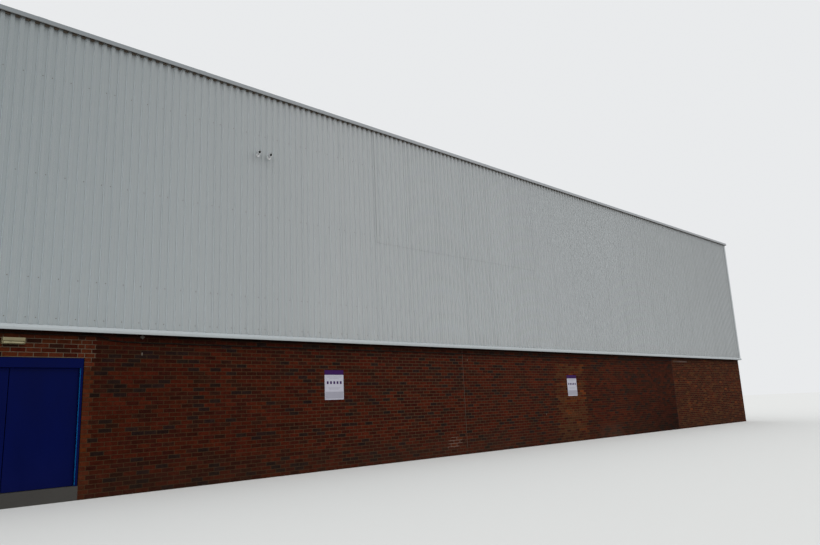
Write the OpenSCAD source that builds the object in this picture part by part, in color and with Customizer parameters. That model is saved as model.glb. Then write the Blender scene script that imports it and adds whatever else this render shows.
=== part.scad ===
// Supermarket building: brick plinth wall, white profiled steel cladding above it,
// a pair of steel doors, and a shallow steel roof hidden behind the parapet.
// Millimetres, +Z up. The origin is the plan centre of the brickwork at its foot.
// The front faces -Y, and X runs along it.

/* [Overall] */
// Length of the brickwork along the front
length = 37790; // [36400:10:38800]
// Depth of the brickwork from front to rear
depth = 25640; // [20000:10:30000]
// Total height to the top of the wall capping
height = 8275; // [8200:5:8450]

/* [Brickwork] */
// Length of one brick
brick_length = 215; // [205:1:225]
// Thickness of one brick wall, the width of a brick
brick_width = 102.5; // [95:0.5:115]
// Height of one brick
brick_height = 65; // [60:1:70]
// Width of a mortar joint
mortar_joint = 10; // [8:1:12]
// Courses from the foot of the wall to the cladding
wall_courses = 38; // [36:1:42]
// Clear cavity behind the brick
cavity = 75; // [50:5:100]
// Thickness of the inner block wall
block_width = 140; // [100:5:190]

/* [Floor] */
// Courses from the foot of the wall up to the floor
floor_courses = 3; // [2:1:4]

/* [Doorway] */
// Bricks between the left corner and the doorway
door_from_corner = 32; // [28:1:34]
// Bricks across the doorway
door_bricks = 10; // [8:1:11]
// Courses from the foot of the wall to the head of the doorway
door_head_courses = 31; // [29:1:32]
// Gap between the door frame and the brickwork
frame_gap = 10; // [4:1:15]
// Set-back of the door frame from the brick face
frame_setback = 10; // [0:1:30]
// Width of the frame's face
frame_face = 40; // [30:1:60]
// Depth of the frame from its face to the stop
frame_depth = 111; // [110:1:120]
// Width of the stop behind the leaves
stop_width = 22; // [16:1:30]
// Thickness of the stop behind the leaves
stop_depth = 14; // [10:1:20]
// Height of the fixed panel over the leaves
over_panel_height = 122; // [80:1:200]
// Set-back of the leaves behind the frame's face
leaf_setback = 60; // [30:1:60]
// Thickness of a door leaf
leaf_thickness = 45; // [35:1:45]
// Clearance round each leaf
leaf_gap = 6; // [5:1:8]
// Gap between the floor and the leaves
floor_gap = 8; // [6:1:14]
// Gap between the two leaves
meeting_gap = 12; // [10:1:16]

/* [Steel frame] */
// Spacing of the portal frames along the front
bay = 6096; // [5900:4:6200]
// Bays across a gable end
bays_deep = 4; // [3:1:5]
// Depth of the portal columns and rafters
frame_steel_depth = 406; // [350:1:450]
// Flange width of the portal columns and rafters
frame_steel_width = 178; // [150:1:200]
// Depth of the parapet and gable posts
post_depth = 203; // [180:1:230]
// Flange width of the parapet and gable posts
post_width = 133; // [110:1:150]
// Flange thickness of all posts and rafters
flange_thickness = 13; // [9:1:16]
// Web thickness of all posts and rafters
web_thickness = 9; // [7:1:12]
// Height of the column heads above the foot of the wall
eaves_height = 6800; // [6500:50:6900]
// Slope of the roof in degrees
roof_slope = 3; // [2:0.25:3.5]
// Length of the haunch under each rafter
haunch_length = 1500; // [1000:50:2000]
// Depth of the haunch at the column
haunch_depth = 330; // [250:10:400]

/* [Rails and purlins] */
// Depth of the zed rails and purlins
zed_depth = 180; // [160:5:200]
// Flange of the zed rails and purlins
zed_flange = 60; // [50:1:65]
// Lip of the zed rails and purlins
zed_lip = 16; // [12:1:20]
// Thickness of the zed rails and purlins
zed_thickness = 3; // [2:0.5:4]
// Height of the lowest rail's web above the brickwork
first_rail_rise = 90; // [80:5:120]
// Height from the lowest rail to the second
second_rail_rise = 670; // [600:10:750]
// Height between the rails above the second
rail_spacing = 1800; // [1700:10:1850]
// Purlins on each slope of the roof
purlins_a_slope = 8; // [7:1:9]

/* [Cladding] */
// How far the ribs stand out from the brick face
cladding_proud = 100; // [85:1:115]
// Depth of a rib
rib_depth = 45; // [35:1:50]
// Pitch of the ribs
rib_pitch = 153.14; // [145:0.01:165]
// Width of the flat crown of a rib
rib_crown = 62; // [50:1:70]
// Width of a rib's sloping flank
rib_flank = 12; // [8:1:16]
// Ribs from one side lap to the next
ribs_a_sheet = 7; // [5:1:7]
// Thickness of a sheet
sheet_thickness = 3; // [2:0.5:4]
// Centre of the first lap rib past the left corner of the brickwork
first_lap = -14; // [-60:1:60]
// Full-height sheets before the part that is laid in two tiers
sheets_before_tiers = 15; // [13:1:16]
// Sheets in the part that is laid in two tiers
sheets_in_tiers = 6; // [4:1:8]
// Height of the lower edge of the upper tier above the brickwork
tier_lap_rise = 2422; // [2300:10:2600]
// How far the tiers overlap
tier_overlap = 150; // [100:10:200]

/* [Flashings] */
// Thickness of the folded flashings
flashing_thickness = 2; // [1.5:0.5:3]
// How far the base flashing stands out from the brick face
drip_proud = 132; // [120:1:150]
// Fall of the sloping part of the base flashing
drip_fall = 55; // [40:1:60]
// Height of the lip of the base flashing
drip_lip = 42; // [30:1:50]
// Return at the foot of the base flashing
drip_return = 10; // [6:1:14]
// How far the capping stands out from the ribs
capping_overhang = 60; // [45:1:80]
// Height of the face of the capping
capping_face = 87; // [75:1:110]
// Fall of the capping towards the roof
capping_fall = 20; // [10:1:30]
// Return at the foot of the capping's face
capping_return = 12; // [6:1:16]
// How far the sheets reach up behind the capping's face
capping_cover = 60; // [40:1:64]
// Leg of the corner flashings
corner_leg = 150; // [120:5:180]

/* [Roof] */
// Pitch of the ribs of the roof sheets
roof_rib_pitch = 250; // [200:5:333]
// Width of the flat crown of a roof rib
roof_rib_crown = 30; // [20:1:50]
// Width of a roof rib's sloping flank
roof_rib_flank = 30; // [20:1:40]
// Depth of a roof rib
roof_rib_depth = 35; // [25:1:45]
// Width of the box gutters behind the parapet
gutter_width = 400; // [300:10:500]
// Depth of the box gutters
gutter_depth = 150; // [120:5:160]
// How far the roof sheets reach over the gutters
gutter_overhang = 60; // [40:5:80]
// Width of each side of the ridge cap
ridge_width = 300; // [200:10:400]

/* [Fittings] */
// Height of the light over the head of the doorway
light_rise = 200; // [160:10:260]
// Length of the light over the doorway
light_length = 350; // [300:5:450]
// Height of the light over the doorway
light_height = 115; // [90:5:130]
// Depth of the light over the doorway
light_depth = 90; // [70:5:110]
// Width of a sign panel
sign_width = 520; // [450:5:600]
// Height of a sign panel
sign_height = 650; // [550:5:750]
// Thickness of a sign panel
sign_thickness = 4; // [3:1:6]
// Distance of the first sign's centre from the left corner
first_sign_place = 14720; // [14000:10:15500]
// Distance of the second sign's centre from the left corner
second_sign_place = 24100; // [23500:10:24800]
// Height of the first sign's lower edge
first_sign_bottom = 1500; // [1300:10:1700]
// Height of the second sign's lower edge
second_sign_bottom = 1400; // [1300:10:1700]
// Distance of the first camera from the left corner
first_camera_place = 12714; // [12000:10:12900]
// Distance between the two cameras
camera_spacing = 276; // [250:1:500]
// Height of the cameras
camera_height = 6755; // [6000:10:7000]
// Angle of the cameras to the left of straight out
camera_turn = 25; // [0:1:30]
// Angle of the cameras below level
camera_dip = 18; // [0:1:25]
// Diameter of a camera's body
camera_diameter = 74; // [60:1:90]
// Length of a camera's body
camera_length = 150; // [140:5:200]
// Distance of the cable's start from the left corner
cable_start = 400; // [200:10:1000]
// Distance of the cable's end from the left corner
cable_end = 31140; // [28000:10:32000]
// Distance from the doorway to the place where the cable droops
cable_bend = 220; // [100:10:900]
// Drop of the cable below the top of the brickwork beside the doorway
cable_drop = 140; // [120:5:200]
// Further drop of the cable past the doorway
cable_sag = 90; // [60:5:120]
// Diameter of the cable on the brickwork
cable_diameter = 22; // [16:1:28]

/* [Hidden] */

brick_pitch = brick_length + mortar_joint;
course = brick_height + mortar_joint;
wall_top = wall_courses * course;
floor_top = floor_courses * course;
wall_inside = brick_width + cavity + block_width;

// Small clearances and seats that follow no other size
capping_back = 25;
sheet_gap = 2;
shelf_fall = 2;
hinge_clearance = 1;
corner_gap = 5;
post_gap = 10;
roof_gap = 10;
ridge_gap = 15;
ridge_purlin_gap = 150;
ridge_seat = 0.1;

// Planes measured inwards from the brick face
sheet_plane = -cladding_proud;
trough_plane = sheet_plane + rib_depth;
rail_plane = trough_plane + sheet_thickness;
rail_inside = rail_plane + zed_depth;
post_inside = rail_inside + post_depth;
column_inside = rail_inside + frame_steel_depth;
lining_inside = post_inside + sheet_thickness;
capping_inside = lining_inside + capping_back;
capping_outside = sheet_plane - capping_overhang;

// Heights
drip_top = wall_top;
cladding_bottom = drip_top + sheet_gap;
cladding_top = height - capping_face + capping_cover;
first_rail = wall_top + first_rail_rise;
capping_slope = capping_fall / (capping_inside - capping_outside);
top_rail = capping_under(rail_plane + zed_lip) - zed_flange;
post_top = capping_under(post_inside);
lining_top = capping_under(lining_inside);
rail_heights = [first_rail, first_rail + second_rail_rise, first_rail + second_rail_rise + rail_spacing,
    first_rail + second_rail_rise + 2 * rail_spacing, top_rail];
tier_lap = wall_top + tier_lap_rise;

// Doorway, along the front, with a quarter brick beside its left jamb
jamb_closer = round(brick_pitch / 4);
door_left = -length / 2 + door_from_corner * brick_pitch - mortar_joint + jamb_closer;
door_right = -length / 2 + (door_from_corner + door_bricks) * brick_pitch;
door_centre = (door_left + door_right) / 2;
door_head = door_head_courses * course;
frame_width = door_right - door_left - 2 * frame_gap;
frame_top = door_head - frame_gap / 2;
leaf_top = frame_top - frame_face - over_panel_height - leaf_gap;
leaf_bottom = floor_top + floor_gap;
leaf_height = leaf_top - leaf_bottom;
leaf_width = (frame_width - 2 * frame_face - 2 * leaf_gap - meeting_gap) / 2;
leaf_face = frame_setback + leaf_setback;
hinge_radius = leaf_gap - hinge_clearance;
hinge_height = 110;

// Steel
bays_long = round(length / bay);
end_frame = length / 2 - lining_inside - frame_steel_width / 2;
slope_rise = tan(roof_slope);
half_span = depth / 2;
base_plate = 20;
base_plate_reach = 80;
end_plate = 20;
end_plate_drop = 60;
weld = 1;
purlin_end = length / 2 - lining_inside - roof_gap;
gutter_inside = lining_inside + gutter_width;
gutter_bottom = eaves_height + (gutter_inside - column_inside) * slope_rise;
slope_start = (gutter_inside - gutter_overhang - column_inside) / cos(roof_slope);
slope_end = (half_span - column_inside) / cos(roof_slope) - ridge_gap;
first_purlin = (gutter_inside - column_inside) / cos(roof_slope) + zed_flange;
last_purlin = slope_end - ridge_purlin_gap;
lintel_bearing = 150;
mitre_reach = 600;
mitre_gap = 4;
hair = 0.01;
cable_sides = 12;

// Cladding
sheet_cover = rib_pitch * ribs_a_sheet;
tiers_start = lap_centre(sheets_before_tiers) - rib_crown / 2;
tiers_end = lap_centre(sheets_before_tiers + sheets_in_tiers) - rib_crown / 2;
corner_sheet = -rail_plane - corner_gap;

// A profile's form is [pitch, crown, flank, depth of the rib, ribs to a sheet, or 0 without side laps]
wall_form = [rib_pitch, rib_crown, rib_flank, rib_depth, ribs_a_sheet];
roof_form = [roof_rib_pitch, roof_rib_crown, roof_rib_flank, roof_rib_depth, 0];

// Underside of the capping at a plane measured inwards from the brick face
function capping_under(inwards) = height - flashing_thickness - capping_slope * (inwards - capping_outside);

// A point along the front, from its distance to the left corner of the brickwork
function from_left(distance) = distance - length / 2;

// Centre of a side lap's rib, counted from the left end of the front
function lap_centre(count) = -length / 2 + first_lap + count * sheet_cover;

// Position of portal frame number i along the front
function frame_place(i) =
    i == 0 ? -end_frame : i == bays_long ? end_frame : (i - bays_long / 2) * bay;

// Positions of the posts across a gable, with one at each corner
function gable_post_place(i) =
    i == 0 ? -gable_corner_post() :
    i == bays_deep ? gable_corner_post() : (i - bays_deep / 2) * (depth - 2 * column_inside) / bays_deep;
function gable_corner_post() = depth / 2 - rail_inside - post_width / 2;

// Places a child on a side of the building: X along the side, Y inwards from the brick face
module on_front() {
    translate([0, -depth / 2, 0]) children();
}
module on_rear() {
    translate([0, depth / 2, 0]) rotate([0, 0, 180]) children();
}
module on_left() {
    translate([-length / 2, 0, 0]) rotate([0, 0, -90]) children();
}
module on_right() {
    translate([length / 2, 0, 0]) rotate([0, 0, 90]) children();
}

// Extrudes a section, given as [inwards, up] points, along the side from one place to another
module run(points, from, to) {
    translate([from, 0, 0]) rotate([90, 0, 90]) linear_extrude(to - from) polygon(points);
}

// A plain block between two places along the side, two planes and two heights
module block(from, to, outer, inner, bottom, top) {
    translate([from, outer, bottom]) cube([to - from, inner - outer, top - bottom]);
}

// Section of a lipped zed, as [along its depth, across it]
function zed_section(d, flange, lip, t) = [
    [0, -t / 2], [d - t, -t / 2], [d - t, t - flange], [d - lip, t - flange], [d - lip, -flange], [d, -flange],
    [d, t / 2], [t, t / 2], [t, flange - t], [lip, flange - t], [lip, flange], [0, flange]];

// Section of a rolled steel beam, as [across, along its depth]
function beam_section(d, w, flange, web) = [
    [-w / 2, 0], [w / 2, 0], [w / 2, flange], [web / 2, flange], [web / 2, d - flange], [w / 2, d - flange],
    [w / 2, d], [-w / 2, d], [-w / 2, d - flange], [-web / 2, d - flange], [-web / 2, flange], [-w / 2, flange]];

// Floor, brick walls and block walls

module floor_slab() {
    color("silver")
    translate([-length / 2 + brick_width, -depth / 2 + brick_width, 0])
    cube([length - 2 * brick_width, depth - 2 * brick_width, floor_top]);
}

module door_threshold() {
    color("darkgray") on_front() block(door_left, door_right, 0, brick_width, 0, floor_top);
}

module front_brick_left() {
    color("firebrick") on_front() block(-length / 2, door_left, 0, brick_width, 0, wall_top);
}

module front_brick_right() {
    color("firebrick") on_front() block(door_right, length / 2, 0, brick_width, 0, wall_top);
}

module front_brick_over_door() {
    color("firebrick") on_front() block(door_left, door_right, 0, brick_width, door_head, wall_top);
}

module rear_brick() {
    color("firebrick") on_rear() block(-length / 2, length / 2, 0, brick_width, 0, wall_top);
}

module gable_brick() {
    reach = depth / 2 - brick_width;
    color("firebrick") block(-reach, reach, 0, brick_width, 0, wall_top);
}

module left_brick() {
    on_left() gable_brick();
}

module right_brick() {
    on_right() gable_brick();
}

// One panel of block wall, from the floor to the top of the brickwork
module block_panel(from, to) {
    block(from, to, brick_width + cavity, wall_inside, floor_top, wall_top);
}

// Clear stretch of wall between portal frames i and i + 1
function bay_start(i) = frame_place(i) + frame_steel_width / 2 + post_gap;
function bay_end(i) = frame_place(i + 1) - frame_steel_width / 2 - post_gap;

module front_inner_wall() {
    color("gainsboro") on_front() difference() {
        for (i = [0:bays_long - 1]) {
            if (bay_start(i) < door_left && bay_end(i) > door_right) {
                block_panel(bay_start(i), door_left);
                block_panel(door_right, bay_end(i));
            } else {
                block_panel(bay_start(i), bay_end(i));
            }
        }
        lintel();
    }
}

module rear_inner_wall() {
    color("gainsboro") on_rear()
    for (i = [0:bays_long - 1]) block_panel(bay_start(i), bay_end(i));
}

module gable_inner_wall() {
    reach = post_width / 2 + post_gap;
    for (i = [0:bays_deep - 1]) block_panel(gable_post_place(i) + reach, gable_post_place(i + 1) - reach);
}

module gable_inner_walls() {
    color("gainsboro") {
        on_left() gable_inner_wall();
        on_right() gable_inner_wall();
    }
}

module lintel() {
    block(door_left - lintel_bearing, door_right + lintel_bearing, brick_width + cavity, wall_inside,
        door_head, wall_top);
}

module door_lintel() {
    color("darkgray") on_front() lintel();
}

// Steel frame

// Upright beam on a base plate of its own size
module upright(d, w, bottom, top) {
    translate([0, 0, bottom]) linear_extrude(top - bottom)
    polygon(beam_section(d, w, flange_thickness, web_thickness));
}

// Height of a rafter's top above the foot of the wall, at a plane inwards from the brick face
function rafter_top(inwards) = eaves_height + (inwards - column_inside) * slope_rise;

// Plate of a rafter, drawn in the plane of its frame and given a thickness along the building
module frame_plate(points, thickness) {
    translate([-thickness / 2, 0, 0]) rotate([90, 0, 90]) linear_extrude(thickness) polygon(points);
}

// Band of a rafter between two depths below its top, from the column to the ridge
function rafter_band(upper, lower) = [
    [column_inside, eaves_height - upper], [half_span, rafter_top(half_span) - upper],
    [half_span, rafter_top(half_span) - lower], [column_inside, eaves_height - lower]];

module column() {
    translate([-frame_steel_width / 2, rail_inside, floor_top])
    cube([frame_steel_width, frame_steel_depth + base_plate_reach, base_plate]);
    translate([0, rail_inside, 0])
    upright(frame_steel_depth, frame_steel_width, floor_top + base_plate / 2, eaves_height);
    translate([0, rail_inside, 0]) upright(post_depth, post_width, eaves_height - weld, post_top);
}

module rafter() {
    below = frame_steel_depth;
    haunch_end = column_inside + haunch_length;
    knee = eaves_height - below - haunch_depth;
    frame_plate(rafter_band(0, flange_thickness), frame_steel_width);
    frame_plate(rafter_band(below - flange_thickness, below), frame_steel_width);
    frame_plate(rafter_band(weld, below - weld), web_thickness);
    frame_plate([[column_inside, eaves_height - below + weld],
        [haunch_end, rafter_top(haunch_end) - below + weld], [column_inside, knee + weld]], web_thickness);
    frame_plate([[column_inside, knee], [haunch_end, rafter_top(haunch_end) - below - flange_thickness],
        [haunch_end, rafter_top(haunch_end) - below + weld], [column_inside, knee + flange_thickness]],
        frame_steel_width);
    frame_plate([[column_inside, eaves_height], [column_inside + end_plate, rafter_top(column_inside + end_plate)],
        [column_inside + end_plate, knee - end_plate_drop], [column_inside, knee - end_plate_drop]],
        frame_steel_width);
}

module columns() {
    for (i = [0:bays_long]) translate([frame_place(i), 0, 0]) column();
}

module rafters() {
    for (i = [0:bays_long]) translate([frame_place(i), 0, 0]) rafter();
}

module front_columns() {
    color("slategray") on_front() columns();
}

module rear_columns() {
    color("slategray") on_rear() columns();
}

module front_rafters() {
    color("slategray") on_front() rafters();
}

module rear_rafters() {
    color("slategray") on_rear() rafters();
}

module posts_of_gable() {
    for (i = [0:bays_deep]) translate([gable_post_place(i), rail_inside, 0])
        upright(post_depth, post_width, floor_top, post_top);
}

module gable_posts() {
    color("slategray") {
        on_left() posts_of_gable();
        on_right() posts_of_gable();
    }
}

// Zed rails of one side, between two places along it
module rails(from, to) {
    section = zed_section(zed_depth, zed_flange, zed_lip, zed_thickness);
    for (z = rail_heights) translate([0, 0, z]) run([for (p = section) p + [rail_plane, 0]], from, to);
}

module long_side_rails() {
    reach = length / 2 - rail_inside - post_gap;
    rails(-reach, reach);
}

module gable_side_rails() {
    reach = depth / 2 - rail_plane - post_gap;
    rails(-reach, reach);
}

module front_rails() {
    color("lightsteelblue") on_front() long_side_rails();
}

module rear_rails() {
    color("lightsteelblue") on_rear() long_side_rails();
}

module gable_rails() {
    color("lightsteelblue") {
        on_left() gable_side_rails();
        on_right() gable_side_rails();
    }
}

// Places a child on the slope of the roof: Y up the slope from the column, Z square to it
module on_slope() {
    translate([0, column_inside, eaves_height]) rotate([roof_slope, 0, 0]) children();
}

module slope_purlins() {
    section = [for (p = zed_section(zed_depth, zed_flange, zed_lip, zed_thickness)) [p[1], p[0]]];
    for (i = [0:purlins_a_slope - 1]) {
        up_slope = first_purlin + i * (last_purlin - first_purlin) / (purlins_a_slope - 1);
        translate([0, up_slope, 0]) run(section, -purlin_end, purlin_end);
    }
}

module purlins() {
    color("lightsteelblue") {
        on_front() on_slope() slope_purlins();
        on_rear() on_slope() slope_purlins();
    }
}

// Profiled sheets

// Where the edge of the next sheet lies over rib number i, its crown stands higher by that lap,
// except under the corner flashings
function lap_rise(form, centre, i, limit, lap) =
    form[4] > 0 && i % form[4] == 0 && abs(centre) + form[1] / 2 < limit ? lap : 0;

// How far the edge of a lap reaches down the flank of its rib, where the sheet is laid over others
function lap_reach(rise) = rise > sheet_thickness ? rise - sheet_thickness : 0;

// Corners of one rib, as [along, out]
function rib_corners(form, centre, rise) =
    let (reach = lap_reach(rise))
    let (edge = centre - form[1] / 2 - reach)
    concat(
        [[centre - form[1] / 2 - form[2], 0], [edge, form[3] * (1 - reach / form[2])]],
        rise > 0 ? [[edge, form[3] + rise]] : [],
        [[centre + form[1] / 2, form[3] + rise], [centre + form[1] / 2 + form[2], 0]]);

// How far a face of the sheets stands out at one place
function sheet_out(form, place, first, limit, lap) =
    let (i = round((place - first) / form[0]))
    let (centre = first + i * form[0])
    let (rise = lap_rise(form, centre, i, limit, lap))
    let (top = form[3] + rise)
    let (off = place - centre)
    let (edge = form[1] / 2)
    off < -edge - lap_reach(rise) ? max(0, form[3] * (off + edge + form[2]) / form[2]) :
    off > edge ? max(0, top * (edge + form[2] - off) / form[2]) : top;

// One face of the sheets, from one place to another, with crowns raised by a lap at the side laps
function sheet_face(form, from, to, first, limit, lap) =
    let (low = floor((from - first) / form[0]) - 1)
    let (high = ceil((to - first) / form[0]) + 1)
    concat(
        [[from, sheet_out(form, from + hair, first, limit, lap)]],
        [for (i = [low:high]) for (p = rib_corners(form, first + i * form[0],
            lap_rise(form, first + i * form[0], i, limit, lap)))
            if (p[0] > from + 2 * hair && p[0] < to - 2 * hair) p],
        [[to, sheet_out(form, to - hair, first, limit, lap)]]);

function reversed(list) = [for (i = [len(list) - 1:-1:0]) list[i]];

// Section of the sheets, as [along, out], with their inner face on 0, laid over others or over none
function sheet_section(form, from, to, first, limit, under) = concat(
    [for (p = sheet_face(form, from, to, first, limit, under + sheet_thickness)) p + [0, sheet_thickness]],
    reversed(sheet_face(form, from, to, first, limit, under)));

// Cladding of one side of the building, with its ribs counted from the rib at the first place.
// It stands out by the sheets that it is laid over.
module cladding(side, from, to, first, bottom, top, out) {
    section = sheet_section(wall_form, from, to, first, side / 2 + cladding_proud - corner_leg, out);
    translate([0, 0, bottom]) linear_extrude(top - bottom)
    polygon([for (p = section) [p[0], rail_plane - out - p[1]]]);
}

module front_cladding_part(from, to, bottom, top, out) {
    color("whitesmoke") on_front() cladding(length, from, to, lap_centre(0), bottom, top, out);
}

module front_cladding_left() {
    front_cladding_part(-length / 2 - corner_sheet, tiers_start, cladding_bottom, cladding_top, 0);
}

module front_cladding_lower() {
    front_cladding_part(tiers_start, tiers_end, cladding_bottom, tier_lap + tier_overlap, 0);
}

module front_cladding_upper() {
    front_cladding_part(tiers_start, tiers_end, tier_lap, cladding_top, sheet_thickness);
}

module front_cladding_right() {
    front_cladding_part(tiers_end, length / 2 + corner_sheet, cladding_bottom, cladding_top, 0);
}

module plain_cladding(side, from, to) {
    color("whitesmoke")
    cladding(side, from, to, -side / 2 + first_lap, cladding_bottom, cladding_top, 0);
}

module rear_cladding_left() {
    on_rear() plain_cladding(length, -length / 2 - corner_sheet, 0);
}

module rear_cladding_right() {
    on_rear() plain_cladding(length, 0, length / 2 + corner_sheet);
}

module left_cladding() {
    on_left() plain_cladding(depth, -depth / 2 - corner_sheet, depth / 2 + corner_sheet);
}

module right_cladding() {
    on_right() plain_cladding(depth, -depth / 2 - corner_sheet, depth / 2 + corner_sheet);
}

// Flashings

// A folded section along one side, mitred at both corners with a narrow open joint
module mitred_run(section, side) {
    wide = side / 2 + mitre_reach - mitre_gap / 2;
    narrow = side / 2 - mitre_reach - mitre_gap / 2;
    intersection() {
        run(section, -wide, wide);
        linear_extrude(height + mitre_reach)
        polygon([[-wide, -mitre_reach], [wide, -mitre_reach], [narrow, mitre_reach], [-narrow, mitre_reach]]);
    }
}

module mitred_ring(section) {
    on_front() mitred_run(section, length);
    on_rear() mitred_run(section, length);
    on_left() mitred_run(section, depth);
    on_right() mitred_run(section, depth);
}

// Section of the base flashing: an upstand, a shelf under the sheets, a slope, a lip and a small return
function drip_section() =
    let (t = flashing_thickness)
    let (upstand = first_rail - zed_thickness / 2)
    let (edge = drip_top - shelf_fall)
    let (lip_top = drip_top - drip_fall)
    let (foot = lip_top - drip_lip)
    let (level = shelf_fall / (rail_plane - sheet_plane))
    let (fall = (edge - lip_top) / (drip_proud + sheet_plane))
    let (level_depth = t * sqrt(1 + level * level))
    let (fall_depth = t * sqrt(1 + fall * fall))
    let (fold = (fall_depth - level_depth) / (fall - level))
    [[rail_plane, upstand], [rail_plane, drip_top], [sheet_plane, edge], [-drip_proud, lip_top],
        [-drip_proud, foot], [-drip_proud + drip_return, foot], [-drip_proud + drip_return, foot + t],
        [-drip_proud + t, foot + t], [-drip_proud + t, lip_top + fall * t - fall_depth],
        [sheet_plane + fold, edge + level * fold - level_depth],
        [rail_plane + t, drip_top + level * t - level_depth], [rail_plane + t, upstand]];

module base_flashings() {
    color("white") mitred_ring(drip_section());
}

// Section of the capping: a face with a return, a top that falls towards the roof, and a back leg
function capping_section() =
    let (t = flashing_thickness)
    let (out = capping_outside)
    let (back = height - capping_fall)
    [[out, height - capping_face], [out, height], [capping_inside, back],
        [capping_inside, back - capping_face], [capping_inside - t, back - capping_face],
        [capping_inside - t, capping_under(capping_inside - t)], [out + t, capping_under(out + t)],
        [out + t, height - capping_face + t], [out + capping_return, height - capping_face + t],
        [out + capping_return, height - capping_face]];

module wall_capping() {
    color("white") mitred_ring(capping_section());
}

module corner_flashing() {
    t = flashing_thickness;
    out = sheet_plane - t;
    translate([0, 0, cladding_bottom]) linear_extrude(cladding_top - cladding_bottom)
    polygon([[out, out], [out + corner_leg, out], [out + corner_leg, out + t], [out + t, out + t],
        [out + t, out + corner_leg], [out, out + corner_leg]]);
}

module corner_flashings() {
    color("white")
    for (sx = [0, 1]) for (sy = [0, 1]) mirror([sx, 0, 0]) mirror([0, sy, 0])
        translate([-length / 2, -depth / 2, 0]) corner_flashing();
}

module parapet_lining() {
    color("gainsboro") {
        for (turn = [0, 180]) rotate([0, 0, turn]) translate([0, -depth / 2, 0])
            block(-length / 2 + lining_inside + mitre_gap, length / 2 - lining_inside - mitre_gap,
                post_inside, lining_inside, eaves_height, lining_top);
        for (turn = [-90, 90]) rotate([0, 0, turn]) translate([0, -length / 2, 0])
            block(-depth / 2 + post_inside, depth / 2 - post_inside, post_inside, lining_inside,
                eaves_height, lining_top);
    }
}

// Roof

module slope_sheets() {
    section = sheet_section(roof_form, -purlin_end, purlin_end, -purlin_end + roof_rib_pitch / 2, 0, 0);
    translate([0, slope_end, zed_depth]) rotate([90, 0, 0])
    linear_extrude(slope_end - slope_start) polygon(section);
}

module front_roof_sheets() {
    color("lightslategray") on_front() on_slope() slope_sheets();
}

module rear_roof_sheets() {
    color("lightslategray") on_rear() on_slope() slope_sheets();
}

module ridge_cap() {
    t = flashing_thickness;
    crown = zed_depth + sheet_thickness + roof_rib_depth + ridge_seat;
    ridge = rafter_top(half_span) + crown / cos(roof_slope);
    edge = ridge - ridge_width * slope_rise;
    color("lightslategray")
    run([[-ridge_width, edge], [0, ridge], [ridge_width, edge], [ridge_width, edge + t], [0, ridge + t],
        [-ridge_width, edge + t]], -purlin_end, purlin_end);
}

module gutter() {
    t = sheet_thickness;
    top = gutter_bottom + gutter_depth;
    run([[lining_inside, gutter_bottom], [gutter_inside, gutter_bottom], [gutter_inside, top],
        [gutter_inside - t, top], [gutter_inside - t, gutter_bottom + t], [lining_inside + t, gutter_bottom + t],
        [lining_inside + t, top], [lining_inside, top]], -purlin_end, purlin_end);
}

module gutters() {
    color("lightslategray") {
        on_front() gutter();
        on_rear() gutter();
    }
}

// Doors

module door_frame() {
    left = door_left + frame_gap;
    right = door_right - frame_gap;
    back = frame_setback + frame_depth;
    color("midnightblue") on_front() {
        for (side = [0, 1]) {
            outer = side == 0 ? left : right - frame_face;
            stop = side == 0 ? left : right - frame_face - stop_width;
            block(outer, outer + frame_face, frame_setback, back, floor_top, frame_top);
            block(stop, stop + frame_face + stop_width, back, back + stop_depth, floor_top, frame_top);
        }
        block(left, right, frame_setback, back, frame_top - frame_face, frame_top);
        block(left, right, back, back + stop_depth, leaf_top + leaf_gap - stop_width, frame_top);
    }
}

module over_door_panel() {
    bottom = leaf_top + leaf_gap;
    color("midnightblue") on_front()
    block(door_left + frame_gap + frame_face, door_right - frame_gap - frame_face, frame_setback,
        frame_setback + frame_depth, bottom, frame_top - frame_face);
}

// A leaf that reaches from its hinge towards +X, with its face on 0
module door_leaf() {
    color("navy") {
        translate([0, 0, leaf_bottom]) cube([leaf_width, leaf_thickness, leaf_height]);
        for (share = [0.12, 0.5, 0.88]) translate([0, 0, leaf_bottom + share * leaf_height - hinge_height / 2])
            cylinder(r = hinge_radius, h = hinge_height, $fn = 24);
    }
}

function hinge_place() = frame_width / 2 - frame_face - leaf_gap;

module left_door_leaf() {
    on_front() translate([door_centre - hinge_place(), leaf_face, 0]) door_leaf();
}

module right_door_leaf() {
    on_front() translate([door_centre + hinge_place(), leaf_face, 0]) mirror([1, 0, 0]) door_leaf();
}

// Fittings

// Light over the doorway: a back plate and a deeper cover with chamfered edges
module door_light() {
    plate = 18;
    chamfer = 14;
    inset = 4;
    bottom = door_head + light_rise;
    color("wheat") on_front() translate([door_centre - light_length / 2, 0, bottom]) {
        translate([0, -plate, 0]) cube([light_length, plate, light_height]);
        run([[-plate / 2, inset], [-light_depth + chamfer, inset], [-light_depth, inset + chamfer],
            [-light_depth, light_height - inset - chamfer], [-light_depth + chamfer, light_height - inset],
            [-plate / 2, light_height - inset]], inset, light_length - inset);
    }
}

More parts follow.
